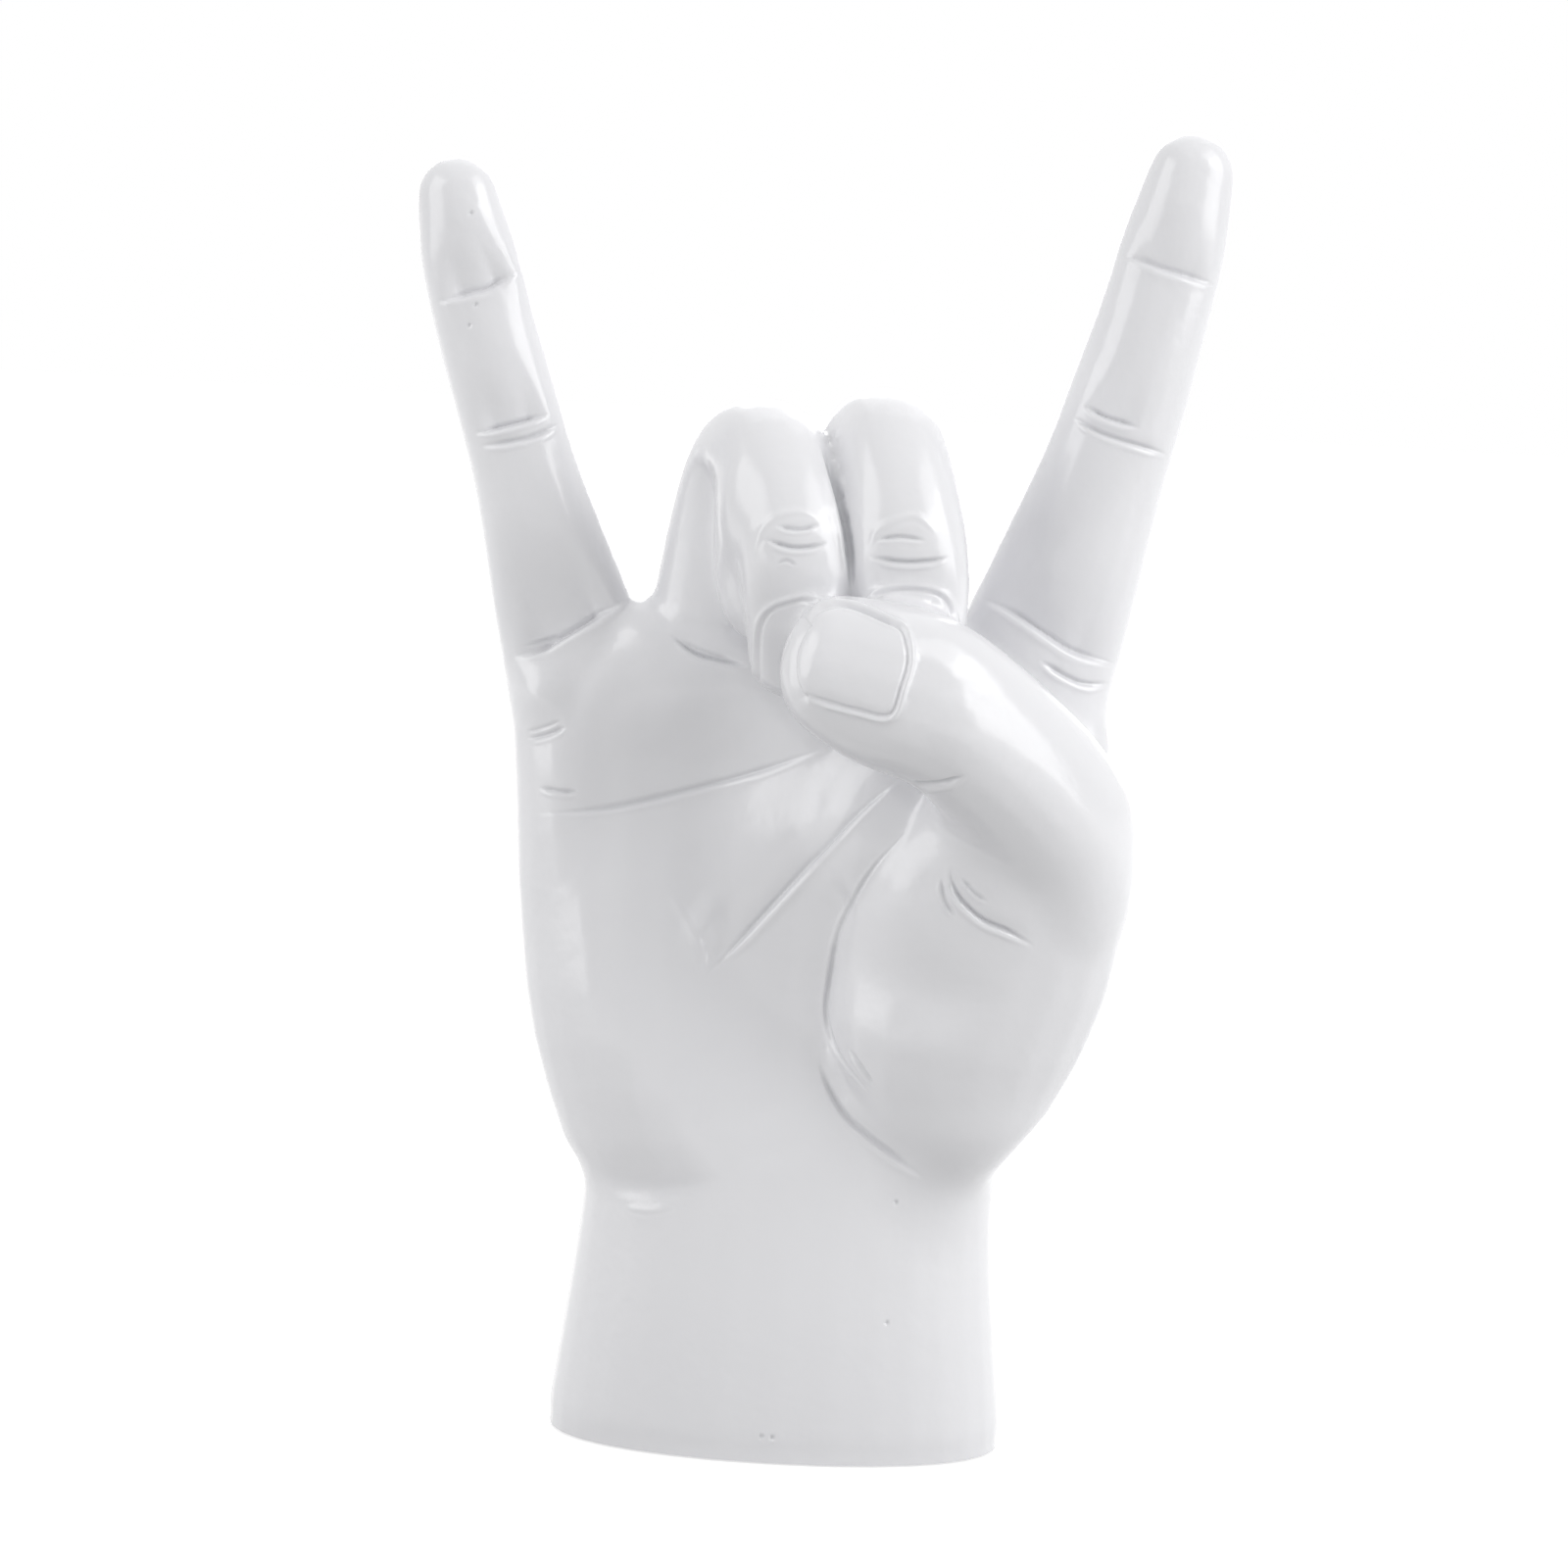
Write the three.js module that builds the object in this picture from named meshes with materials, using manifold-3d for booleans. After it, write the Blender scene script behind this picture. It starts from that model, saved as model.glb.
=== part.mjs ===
// A right hand in the horned gesture, the size of life, standing on its wrist.
// It is cast in white resin as separate members. Each finger and the thumb has an oval tenon at its
// root crease, where the joint line hides, and a steel rod runs through the tenon into the palm.
// The palm and wrist are one hollow casting: a ballast block stands inside on the plug that closes it,
// and a thin pad covers the underside.
//
// Millimetres and degrees. +Z is up, the palm faces -Y and the thumb is on the +X side.
// The origin is the centre of the pad's underside.

import * as THREE from "three";
import { mergeVertices } from "three/addons/utils/BufferGeometryUtils.js";
import Module from "manifold-3d";

const wasm = await Module();
wasm.setup();

// Main sizes
const PALM_HEIGHT = 109; // from the wrist's lower edge to the knuckles
const INDEX_LENGTH = 98; // digits from the centre of the knuckle to the tip
const MIDDLE_LENGTH = 100;
const RING_LENGTH = 98;
const LITTLE_LENGTH = 89;
const THUMB_LENGTH = 101.5; // with its length in the ball of the thumb

// Walls, seats and clearances
const WALL = 7; // palm and wrist casting, outside to cavity
const LEDGE = 2.5; // seat in the wrist that the base plug rests against
const PLUG_THICKNESS = 4;
const PAD_THICKNESS = 1;
const PAD_INSET = 3; // from the wrist's outline to the pad's edge
const FOOT_RADIUS = 2; // rounding round the wrist's lower edge
const GLUE_LINE = 0.3; // between faces that are glued together
const FOOT_LEVEL = PAD_THICKNESS + GLUE_LINE; // the wrist's lower edge
const OVERLAP = 1; // extra length where one solid is joined to another or cut by it
const FINGER_GAP = 1.4; // between members that lie side by side or cross
const BALLAST_HEIGHT = 30;
const CAVITY_TOP = 84; // where the cavity's dome starts, from the wrist's lower edge
const CAVITY_DOME = 9;

// Pinned joints at the finger roots
const ROD_RADIUS = 1.5;
const TENON_WIDTH = 9;
const TENON_DEPTH = 7;
const TENON_LENGTH = 5;
const ROD_IN_PALM = 15; // from the joint face down into the palm

// Knuckles on the back of the palm
const KNUCKLE_WIDTH = 21;
const KNUCKLE_HEIGHT = 34;
const KNUCKLE_DEPTH = 12;
const KNUCKLE_PROUD = 0.7; // past the finger's back
const KNUCKLE_DROP = 3; // centre, below the finger's joint

// Flesh in the crook of a folded finger
const CROOK_WIDTH = 14;
const CROOK_DEPTH = 18;
const CROOK_HEIGHT = 26;
const CROOK_DROP = 11.5; // centre, below the bend along both phalanges

// Nails
const NAIL_RAISE = 0.45;
const NAIL_CORNER = 3;

// Mesh fineness
const SIDES = 18;
const PALM_SIDES = 32;
const RING_STEP = 4;
const PALM_RING_STEP = 7;
const CAP_RINGS = 4;
const PALM_CAP_RINGS = 7;
const SWELLING_SIDES = 14;
const ROD_SIDES = 12;
const BEND_SAMPLES = 120;

// The palm and wrist as sections from the wrist's lower edge up: share of the palm's height, left edge,
// right edge, depth of the heel on the little finger's side, of the hollow and of the thumb's side, and
// depth to the back.
const PALM_SECTIONS = [
  [0, -34.8, 34.8, 21, 21.5, 21, 21.5],
  [0.11, -33.4, 33.4, 20.5, 21, 20.5, 21],
  [0.24, -31.7, 31.9, 19.5, 20, 19.5, 20],
  [0.35, -30.9, 31.4, 18.5, 18.5, 18.5, 18.5],
  [0.413, -33.1, 32.6, 19, 17.5, 18, 18],
  [0.477, -36.6, 34.2, 19.5, 15.5, 17.5, 17.8],
  [0.596, -41.2, 37, 18.5, 12, 15, 17.3],
  [0.752, -43.8, 40.5, 15.5, 9.5, 12, 16.3],
  [0.89, -44.9, 43.5, 12.5, 9.5, 11, 15.3],
  [1, -45.8, 45.4, 11.5, 11, 11, 14],
];
const PALM_TOP = 20; // height of the dome that the fingers stand out of
const PALM_SQUARE = 2.35; // section exponent: 2 is an ellipse, more is squarer
const MOUND_REACH = 0.65; // share of the half width where the side depths are reached

// The ball of the thumb: centre x and y, share of the palm's height, half width, depth to the palm side
// and depth to the back.
const THUMB_MOUND = [
  [24, -3, 0.39, 7, 8, 8],
  [23, -8.6, 0.502, 16.3, 13, 10],
  [24.2, -11, 0.612, 19.7, 14.5, 12],
  [27.7, -13.5, 0.731, 20.1, 14, 13],
  [30.2, -17, 0.841, 17.2, 13, 12],
  [31.5, -21, 0.92, 13.5, 11, 11],
];
const THUMB_MOUND_TOP = 6;

// The digits. base is the centre of the joint in the palm, as x, y and share of the palm's height, and
// root is how far the digit reaches behind it. Each phalanx has its share of the digit's length, its curl
// from upright towards the palm, and its lean to the thumb's side; bends are how far from each joint the
// rounding of its bend starts. seam is the distance along the digit to its joint face. side is the
// direction across the nail.
// Girths are half width, depth to the pad side and depth to the nail side: at the root, the base,
// before and after the first joint, before and after the last joint, and at the tip.
const DIGITS = {
  index: {
    base: [29, 2, 0.97],
    root: 16,
    length: INDEX_LENGTH,
    phalanges: [
      { share: 0.531, curl: 2, lean: 16.1 },
      { share: 0.248, curl: 2, lean: 13.6 },
      { share: 0.221, curl: 0, lean: 10.6 },
    ],
    bends: [5, 5],
    seam: 34,
    side: [0.97, 0, -0.24],
    girths: [
      [8, 6, 7],
      [13.7, 10, 10.8],
      [9.3, 8.4, 8.4],
      [8.9, 8, 8.2],
      [8.1, 7.4, 7],
      [7.8, 7.2, 6.6],
      [6.4, 5.7, 4.9],
    ],
    tip: 6.3,
    nail: { width: 9.6, length: 11.5, inset: 4.2 },
    rodReach: 34,
  },
  little: {
    base: [-33, 2, 0.97],
    root: 16,
    length: LITTLE_LENGTH,
    phalanges: [
      { share: 0.524, curl: 2, lean: -17.8 },
      { share: 0.252, curl: 2, lean: -18 },
      { share: 0.226, curl: 0, lean: -13.8 },
    ],
    bends: [5, 5],
    seam: 33,
    side: [0.95, 0, 0.3],
    girths: [
      [8, 6, 7],
      [12.2, 9.6, 10.2],
      [7.9, 7.7, 7.7],
      [7.7, 7.2, 7.3],
      [7.5, 6.7, 6.4],
      [7.3, 6.5, 6],
      [6, 5.2, 4.6],
    ],
    tip: 5.8,
    nail: { width: 8.4, length: 10, inset: 4 },
    rodReach: 30,
  },
  ring: {
    base: [-17.5, 3, 0.979],
    root: 12,
    length: RING_LENGTH,
    phalanges: [
      { share: 0.503, curl: 14, lean: 7.7 },
      { share: 0.27, curl: 141, lean: -22 },
      { share: 0.224, curl: 202, lean: -1 },
    ],
    bends: [7, 4],
    seam: 28,
    side: [1, 0, -0.06],
    girths: [
      [8, 6, 7],
      [10, 9.5, 12],
      [8.8, 4.2, 8.7],
      [8.7, 4, 8.7],
      [8.5, 7, 7.8],
      [8.3, 7, 7.2],
      [7, 5.6, 5.4],
    ],
    tip: 6,
    nail: { width: 10.5, length: 11.5, inset: 3.6 },
    rodReach: 18,
  },
  middle: {
    base: [3.2, 3, 0.988],
    root: 12,
    length: MIDDLE_LENGTH,
    phalanges: [
      { share: 0.506, curl: 14, lean: 5.2 },
      { share: 0.275, curl: 141, lean: -14 },
      { share: 0.22, curl: 202, lean: -4 },
    ],
    bends: [7, 4],
    seam: 28,
    side: [1, 0, -0.06],
    girths: [
      [8, 6, 7],
      [10.4, 9.5, 12.2],
      [8.7, 4.2, 8.9],
      [8.6, 4, 8.9],
      [8.7, 7, 8],
      [8.5, 7, 7.2],
      [7.2, 5.6, 5.4],
    ],
    tip: 6,
    nail: { width: 11, length: 12, inset: 3.6 },
    rodReach: 18,
  },
  thumb: {
    base: [26, -7, 0.52],
    root: 6,
    length: THUMB_LENGTH,
    phalanges: [
      { share: 0.399, curl: 14, lean: 20 },
      { share: 0.355, curl: 31, lean: -41.5 },
      { share: 0.246, curl: 4, lean: -73 },
    ],
    bends: [7, 5],
    seam: 49,
    side: [-0.25, -0.36, -0.89],
    girths: [
      [5, 6, 5],
      [8, 9, 7],
      [12.6, 12.5, 12],
      [12.6, 12, 12],
      [11.8, 10, 10],
      [12, 9.6, 9.2],
      [10.2, 7.8, 6.8],
    ],
    tip: 7.5,
    nail: { width: 12.6, length: 14.5, inset: 3 },
    rodReach: 18,
  },
};
const FINGERS = ["index", "middle", "ring", "little"];
const FOLDED = ["middle", "ring"];
const FINGER_SQUARE = 2.15;

const UP = new THREE.Vector3(0, 0, 1);
const vector = (numbers) => new THREE.Vector3(...numbers);
const rise = (share) => (1 - Math.cos(Math.PI * Math.min(1, share))) / 2;

// Joins and cuts
function solid(geometry) {
  const bare = geometry.clone();
  bare.deleteAttribute("normal");
  bare.deleteAttribute("uv");
  const merged = mergeVertices(bare, 1e-4);
  return new wasm.Manifold(
    new wasm.Mesh({
      numProp: 3,
      vertProperties: new Float32Array(merged.attributes.position.array),
      triVerts: new Uint32Array(merged.index.array),
    }),
  );
}

function geometryOf(body) {
  const mesh = body.getMesh();
  return new THREE.BufferGeometry()
    .setAttribute("position", new THREE.BufferAttribute(mesh.vertProperties, 3))
    .setIndex(new THREE.BufferAttribute(mesh.triVerts, 1));
}

// A limb is a centre line, the girth along it, the direction across it and the shape of its section.
// swell, if there is one, adds to the pad side's depth on the left and right of the centre line.
function limb(points, girths, side, square, swell) {
  const curve = (list) => new THREE.CatmullRomCurve3(list, false, "centripetal");
  return {
    path: curve(points),
    girth: curve(girths.map(vector)),
    swell: swell && curve(swell.map(vector)),
    side: vector(side).normalize(),
    square,
  };
}

// The axes of a limb at a share u of its length: along it, across it and towards its pad.
function axesAt(body, u) {
  const t = body.path.getUtoTmapping(Math.min(1, u));
  const along = body.path.getTangent(t);
  const across = body.side
    .clone()
    .addScaledVector(along, -body.side.dot(along))
    .normalize();
  const pad = new THREE.Vector3().crossVectors(across, along);
  return { t, at: body.path.getPoint(t), along, across, pad };
}

// One ring of a limb's skin. grow moves the skin out, shrink draws the ring in towards its centre.
function ring(body, u, sides, { grow = 0, shrink = 1, shift = 0 } = {}) {
  const { t, at, along, across, pad } = axesAt(body, u);
  const [wide, front, back] = body.girth
    .getPoint(t)
    .toArray()
    .map((size) => (size + grow) * shrink);
  const [left, right] = body.swell ? body.swell.getPoint(t).toArray() : [0, 0];
  const power = 2 / body.square;
  const centre = at.clone().addScaledVector(along, shift);
  return Array.from({ length: sides }, (_, k) => {
    const angle = (2 * Math.PI * k) / sides;
    const [c, s] = [Math.cos(angle), Math.sin(angle)];
    const reach = Math.sign(c) * Math.abs(c) ** power;
    const swell = (reach < 0 ? left : right) * shrink * rise(Math.abs(reach) / MOUND_REACH);
    const depth = s > 0 ? front + swell : back;
    return centre
      .clone()
      .addScaledVector(across, wide * reach)
      .addScaledVector(pad, depth * Math.sign(s) * Math.abs(s) ** power);
  });
}

// The closed skin through a list of rings, each end closed to its centre or to a given point.
function skin(rings, end) {
  const sides = rings[0].length;
  const middle = (points) =>
    points
      .reduce((sum, p) => sum.add(p), new THREE.Vector3())
      .divideScalar(sides);
  const points = [...rings.flat(), middle(rings[0]), end ?? middle(rings.at(-1))];
  const [first, last] = [points.length - 2, points.length - 1];
  const faces = [];
  rings.slice(1).forEach((_, row) => {
    for (let k = 0; k < sides; k++) {
      const a = row * sides + k;
      const b = row * sides + ((k + 1) % sides);
      faces.push(a, a + sides, b, b, a + sides, b + sides);
    }
  });
  const top = (rings.length - 1) * sides;
  for (let k = 0; k < sides; k++) {
    const next = (k + 1) % sides;
    faces.push(first, k, next, last, top + next, top + k);
  }
  return new THREE.BufferGeometry().setFromPoints(points).setIndex(faces);
}

// Distances along a limb for its rings. They are even along the outside of its bends, so a tight bend
// gets more rings.
function stations(body, start, end, step) {
  const total = body.path.getLength();
  const part = (end - start) / BEND_SAMPLES;
  const marks = [0];
  let before = axesAt(body, start / total).along;
  for (let k = 1; k <= BEND_SAMPLES; k++) {
    const { t, along } = axesAt(body, (start + part * k) / total);
    const back = body.girth.getPoint(t).z;
    marks.push(marks[k - 1] + part + before.angleTo(along) * back);
    before = along;
  }
  const outer = marks[BEND_SAMPLES];
  const count = Math.max(1, Math.round(outer / step));
  return Array.from({ length: count + 1 }, (_, k) => {
    const want = (outer * k) / count;
    const next = Math.max(1, marks.findIndex((mark) => mark >= want - 1e-9));
    const share = (want - marks[next - 1]) / (marks[next] - marks[next - 1]);
    return start + part * (next - 1 + share);
  });
}

// A length of a limb as a solid. from and to are distances along it; dome rounds the far end, foot
// rounds the near edge, and lead starts the solid a little before the limb does.
function loft(body, options) {
  const { from = 0, to, grow = 0, dome = 0, foot = 0, lead = 0 } = options;
  const { sides = SIDES, step = RING_STEP, caps = CAP_RINGS } = options;
  const total = body.path.getLength();
  const end = to ?? total;
  const rings = [];
  if (lead) rings.push(ring(body, from / total, sides, { grow, shift: -lead }));
  if (foot) {
    for (let k = 0; k < CAP_RINGS; k++) {
      const angle = (Math.PI / 2) * (k / CAP_RINGS);
      const inset = foot * (1 - Math.sin(angle));
      rings.push(ring(body, (foot * (1 - Math.cos(angle))) / total, sides, { grow: grow - inset }));
    }
  }
  const start = from + foot;
  stations(body, start, end, step).forEach((distance) => {
    rings.push(ring(body, distance / total, sides, { grow }));
  });
  if (!dome) return solid(skin(rings));
  for (let k = 1; k < caps; k++) {
    const angle = (Math.PI / 2) * (k / caps);
    const shift = (dome + grow) * Math.sin(angle);
    rings.push(ring(body, end / total, sides, { grow, shrink: Math.cos(angle), shift }));
  }
  const { at, along } = axesAt(body, end / total);
  return solid(skin(rings, at.addScaledVector(along, dome + grow)));
}

// A digit's limb, from its knuckle and phalanges
function direction({ curl, lean }) {
  const [c, l] = [curl, lean].map(THREE.MathUtils.degToRad);
  return new THREE.Vector3(
    Math.cos(c) * Math.sin(l),
    -Math.sin(c),
    Math.cos(c) * Math.cos(l),
  );
}

function knuckleOf(digit) {
  const [x, y, share] = digit.base;
  return new THREE.Vector3(x, y, share * PALM_HEIGHT + FOOT_LEVEL);
}

function digitLimb(digit) {
  const base = knuckleOf(digit);
  const ways = digit.phalanges.map(direction);
  const points = [base.clone().addScaledVector(ways[0], -digit.root), base];
  const joint = base.clone();
  digit.phalanges.forEach(({ share }, k) => {
    joint.addScaledVector(ways[k], share * digit.length);
    if (k < ways.length - 1) {
      points.push(joint.clone().addScaledVector(ways[k], -digit.bends[k]));
      points.push(joint.clone().addScaledVector(ways[k + 1], digit.bends[k]));
    } else {
      points.push(joint.clone().addScaledVector(ways[k], -digit.tip));
    }
  });
  return limb(points, digit.girths, digit.side, FINGER_SQUARE);
}

// The joint face of a digit: how far along its limb it lies, and its axes there.
function jointFace(digit, body) {
  return { distance: digit.seam, ...axesAt(body, digit.seam / body.path.getLength()) };
}

// A straight piece with an oval section, from one point to another along a digit's axis
function ovalPost(face, start, end, width, depth, sides) {
  const height = end - start;
  const post = new THREE.CylinderGeometry(0.5, 0.5, height, sides);
  const { across, along, pad } = face;
  const turn = new THREE.Matrix4().makeBasis(across, along, pad);
  post.scale(width, 1, depth);
  post.applyMatrix4(turn);
  post.translate(...face.at.clone().addScaledVector(along, (start + end) / 2));
  return post;
}

const tenon = (face, fit = 0) =>
  solid(ovalPost(face, -TENON_LENGTH - fit, OVERLAP, TENON_WIDTH + 2 * fit, TENON_DEPTH + 2 * fit, SIDES));
const rod = (face, reach, fit = 0) =>
  ovalPost(face, -ROD_IN_PALM - fit, reach + fit, 2 * (ROD_RADIUS + fit), 2 * (ROD_RADIUS + fit), ROD_SIDES);

// A nail: the digit's skin raised inside a round-cornered outline on its back
function nail(digit, body) {
  const total = body.path.getLength();
  const { width, length, inset } = digit.nail;
  const half = width / 2;
  const outline = new THREE.Shape();
  outline.moveTo(-half + NAIL_CORNER, 0);
  outline.lineTo(half - NAIL_CORNER, 0);
  outline.quadraticCurveTo(half, 0, half, NAIL_CORNER);
  outline.lineTo(half, length - half * 0.5);
  outline.bezierCurveTo(half, length, half * 0.5, length, 0, length);
  outline.bezierCurveTo(-half * 0.5, length, -half, length, -half, length - half * 0.5);
  outline.lineTo(-half, NAIL_CORNER);
  outline.quadraticCurveTo(-half, 0, -half + NAIL_CORNER, 0);
  const block = new THREE.ExtrudeGeometry(outline, {
    depth: 2 * half,
    bevelEnabled: false,
    curveSegments: 4,
  });
  const { at, along, across, pad } = axesAt(body, 1);
  const away = pad.clone().negate();
  const base = at.clone().addScaledVector(along, digit.tip - inset - length);
  block.applyMatrix4(new THREE.Matrix4().makeBasis(across.clone().negate(), along, away));
  block.translate(...base.addScaledVector(away, OVERLAP));
  const raised = loft(body, {
    from: total - length,
    grow: NAIL_RAISE,
    dome: digit.tip,
  });
  return raised.intersect(solid(block));
}

// Castings
const limbs = Object.fromEntries(
  Object.entries(DIGITS).map(([name, digit]) => [name, digitLimb(digit)]),
);
const faces = Object.fromEntries(
  Object.entries(DIGITS).map(([name, digit]) => [name, jointFace(digit, limbs[name])]),
);

const palmLimb = limb(
  PALM_SECTIONS.map(([share, left, right]) => new THREE.Vector3((left + right) / 2, 0, share * PALM_HEIGHT + FOOT_LEVEL)),
  PALM_SECTIONS.map(([, left, right, , hollow, , back]) => [(right - left) / 2, hollow, back]),
  [1, 0, 0],
  PALM_SQUARE,
  PALM_SECTIONS.map(([, , , heel, hollow, ball]) => [heel - hollow, ball - hollow, 0]),
);
const ballLimb = limb(
  THUMB_MOUND.map(([x, y, share]) => new THREE.Vector3(x, y, share * PALM_HEIGHT + FOOT_LEVEL)),
  THUMB_MOUND.map(([, , , wide, front, back]) => [wide, front, back]),
  [1, 0, 0],
  FINGER_SQUARE,
);

// A digit's outer member, grown by a clearance where it cuts its neighbours
const member = (name, grow = 0) =>
  loft(limbs[name], { from: faces[name].distance + GLUE_LINE - grow, grow, dome: DIGITS[name].tip });

// The flesh between the first two phalanges of a folded finger, which closes most of its crook
function crook(name) {
  const digit = DIGITS[name];
  const [first, second] = digit.phalanges.map(direction);
  const centre = knuckleOf(digit)
    .addScaledVector(first, digit.phalanges[0].share * digit.length - CROOK_DROP)
    .addScaledVector(second, CROOK_DROP);
  const flesh = new THREE.SphereGeometry(1, SWELLING_SIDES, SWELLING_SIDES / 2);
  flesh.scale(CROOK_WIDTH / 2, CROOK_DEPTH / 2, CROOK_HEIGHT / 2);
  flesh.translate(...centre);
  const clear = 2 * GLUE_LINE;
  const root = loft(limbs[name], { to: faces[name].distance + clear, grow: clear });
  return solid(flesh).subtract(root);
}

function digitCasting(name, neighbours = []) {
  const digit = DIGITS[name];
  let body = member(name).add(nail(digit, limbs[name]));
  if (FOLDED.includes(name)) body = body.add(crook(name));
  neighbours.forEach((other) => {
    body = body.subtract(member(other, FINGER_GAP));
  });
  return body
    .add(tenon(faces[name]))
    .subtract(solid(rod(faces[name], digit.rodReach, GLUE_LINE)));
}

// A knuckle: a low oval swelling on the back of the palm, over a finger's joint
function knuckle(digit) {
  const [, , back] = digit.girths[1];
  const at = knuckleOf(digit);
  const bump = new THREE.SphereGeometry(1, SWELLING_SIDES, SWELLING_SIDES / 2);
  bump.scale(KNUCKLE_WIDTH / 2, KNUCKLE_DEPTH / 2, KNUCKLE_HEIGHT / 2);
  bump.translate(at.x, at.y + back + KNUCKLE_PROUD - KNUCKLE_DEPTH / 2, at.z - KNUCKLE_DROP);
  return solid(bump);
}

function palmCasting() {
  let body = loft(palmLimb, {
    foot: FOOT_RADIUS,
    dome: PALM_TOP,
    caps: PALM_CAP_RINGS,
    sides: PALM_SIDES,
    step: PALM_RING_STEP,
  });
  body = body.add(loft(ballLimb, { dome: THUMB_MOUND_TOP, step: PALM_RING_STEP }));
  Object.keys(DIGITS).forEach((name) => {
    body = body.add(loft(limbs[name], { to: faces[name].distance + OVERLAP }));
  });
  FINGERS.forEach((name) => {
    body = body.add(knuckle(DIGITS[name]));
  });
  Object.entries(DIGITS).forEach(([name, digit]) => {
    body = body
      .subtract(member(name, GLUE_LINE))
      .subtract(tenon(faces[name], GLUE_LINE))
      .subtract(solid(rod(faces[name], digit.rodReach, GLUE_LINE)));
  });
  const hollow = { sides: PALM_SIDES, step: 2 * PALM_RING_STEP, lead: OVERLAP };
  const cavity = loft(palmLimb, { ...hollow, to: CAVITY_TOP, grow: -WALL, dome: WALL + CAVITY_DOME });
  const recess = loft(palmLimb, { ...hollow, to: PLUG_THICKNESS + GLUE_LINE, grow: LEDGE - WALL });
  return body.subtract(cavity).subtract(recess);
}

const basePlug = () =>
  loft(palmLimb, { to: PLUG_THICKNESS, grow: LEDGE - WALL - GLUE_LINE, sides: PALM_SIDES });
const ballast = () =>
  loft(palmLimb, {
    from: PLUG_THICKNESS + GLUE_LINE,
    to: PLUG_THICKNESS + BALLAST_HEIGHT,
    grow: -WALL - GLUE_LINE,
    sides: PALM_SIDES,
    step: 2 * PALM_RING_STEP,
  });

// The pad: the wrist's outline drawn in, cut from sheet
function basePad() {
  const outline = ring(palmLimb, 0, PALM_SIDES, { grow: -PAD_INSET });
  const shape = new THREE.Shape(outline.map(({ x, y }) => new THREE.Vector2(x, y)));
  return new THREE.ExtrudeGeometry(shape, { depth: PAD_THICKNESS, bevelEnabled: false });
}

// Materials
const RESIN = new THREE.MeshStandardMaterial({ color: 0xe9eaed, roughness: 0.22, metalness: 0 });
const STEEL = new THREE.MeshStandardMaterial({ color: 0x9a9c9e, roughness: 0.35, metalness: 1 });
const PLASTER = new THREE.MeshStandardMaterial({ color: 0xcfc9bd, roughness: 0.9, metalness: 0 });
const FELT = new THREE.MeshStandardMaterial({ color: 0xd8d8d6, roughness: 1, metalness: 0 });

// Assembly
const hand = new THREE.Group();
function place(name, geometry, material) {
  const mesh = new THREE.Mesh(geometry, material);
  mesh.name = name;
  hand.add(mesh);
}

place("palm", geometryOf(palmCasting()), RESIN);
place("index_finger", geometryOf(digitCasting("index")), RESIN);
place("middle_finger", geometryOf(digitCasting("middle", ["ring"])), RESIN);
place("ring_finger", geometryOf(digitCasting("ring")), RESIN);
place("little_finger", geometryOf(digitCasting("little")), RESIN);
place("thumb", geometryOf(digitCasting("thumb", ["ring", "middle"])), RESIN);
Object.entries(DIGITS).forEach(([name, digit]) => {
  place(`${name}_rod`, rod(faces[name], digit.rodReach), STEEL);
});
place("base_plug", geometryOf(basePlug()), RESIN);
place("ballast", geometryOf(ballast()), PLASTER);
place("base_pad", basePad(), FELT);

export default hand;
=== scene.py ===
# %% [markdown]
# # A white hand in the horned gesture
#
# The real object is a life-size right hand, cast in resin and painted gloss white. It stands on a wrist
# that is cut flat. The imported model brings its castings, rods, plug, ballast and pad in their right places.
# What it lacks is the surface: skin folds, nails, knuckles and paint. This lesson adds those.

# %% Load the frame
import collections
import contextlib
import math

import bpy
import numpy as np
from mathutils import Matrix, Vector
from mathutils.bvhtree import BVHTree


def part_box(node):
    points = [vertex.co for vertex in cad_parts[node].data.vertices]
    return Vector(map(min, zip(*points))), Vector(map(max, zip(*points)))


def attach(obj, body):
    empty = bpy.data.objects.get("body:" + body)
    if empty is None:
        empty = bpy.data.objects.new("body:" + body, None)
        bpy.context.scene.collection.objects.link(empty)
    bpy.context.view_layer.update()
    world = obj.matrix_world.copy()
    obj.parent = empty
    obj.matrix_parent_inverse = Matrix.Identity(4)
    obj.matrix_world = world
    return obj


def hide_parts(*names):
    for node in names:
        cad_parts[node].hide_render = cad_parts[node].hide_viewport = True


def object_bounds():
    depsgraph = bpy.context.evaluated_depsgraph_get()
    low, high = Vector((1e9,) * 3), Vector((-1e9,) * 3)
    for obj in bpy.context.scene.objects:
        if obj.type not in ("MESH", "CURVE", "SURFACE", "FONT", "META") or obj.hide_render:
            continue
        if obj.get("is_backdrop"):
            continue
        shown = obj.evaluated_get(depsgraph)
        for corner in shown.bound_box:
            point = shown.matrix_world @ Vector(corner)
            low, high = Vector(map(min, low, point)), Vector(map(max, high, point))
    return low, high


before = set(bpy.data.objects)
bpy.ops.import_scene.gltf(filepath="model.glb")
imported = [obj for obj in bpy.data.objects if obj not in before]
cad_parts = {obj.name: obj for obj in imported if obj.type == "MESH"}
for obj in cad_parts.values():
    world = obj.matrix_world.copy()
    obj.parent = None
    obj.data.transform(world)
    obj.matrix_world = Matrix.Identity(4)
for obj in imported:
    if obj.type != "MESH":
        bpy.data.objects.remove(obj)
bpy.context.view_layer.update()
MM = 0.001

# %% [markdown]
# ## The camera
#
# The photograph looks at the palm from straight ahead and a little above, with the picture turned by about
# three degrees. The camera could be moved by eye until it fits. Here its numbers come from the rim of the
# wrist and the outline of the fingers, because the skin folds are later drawn in the photograph's own frame.

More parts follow.
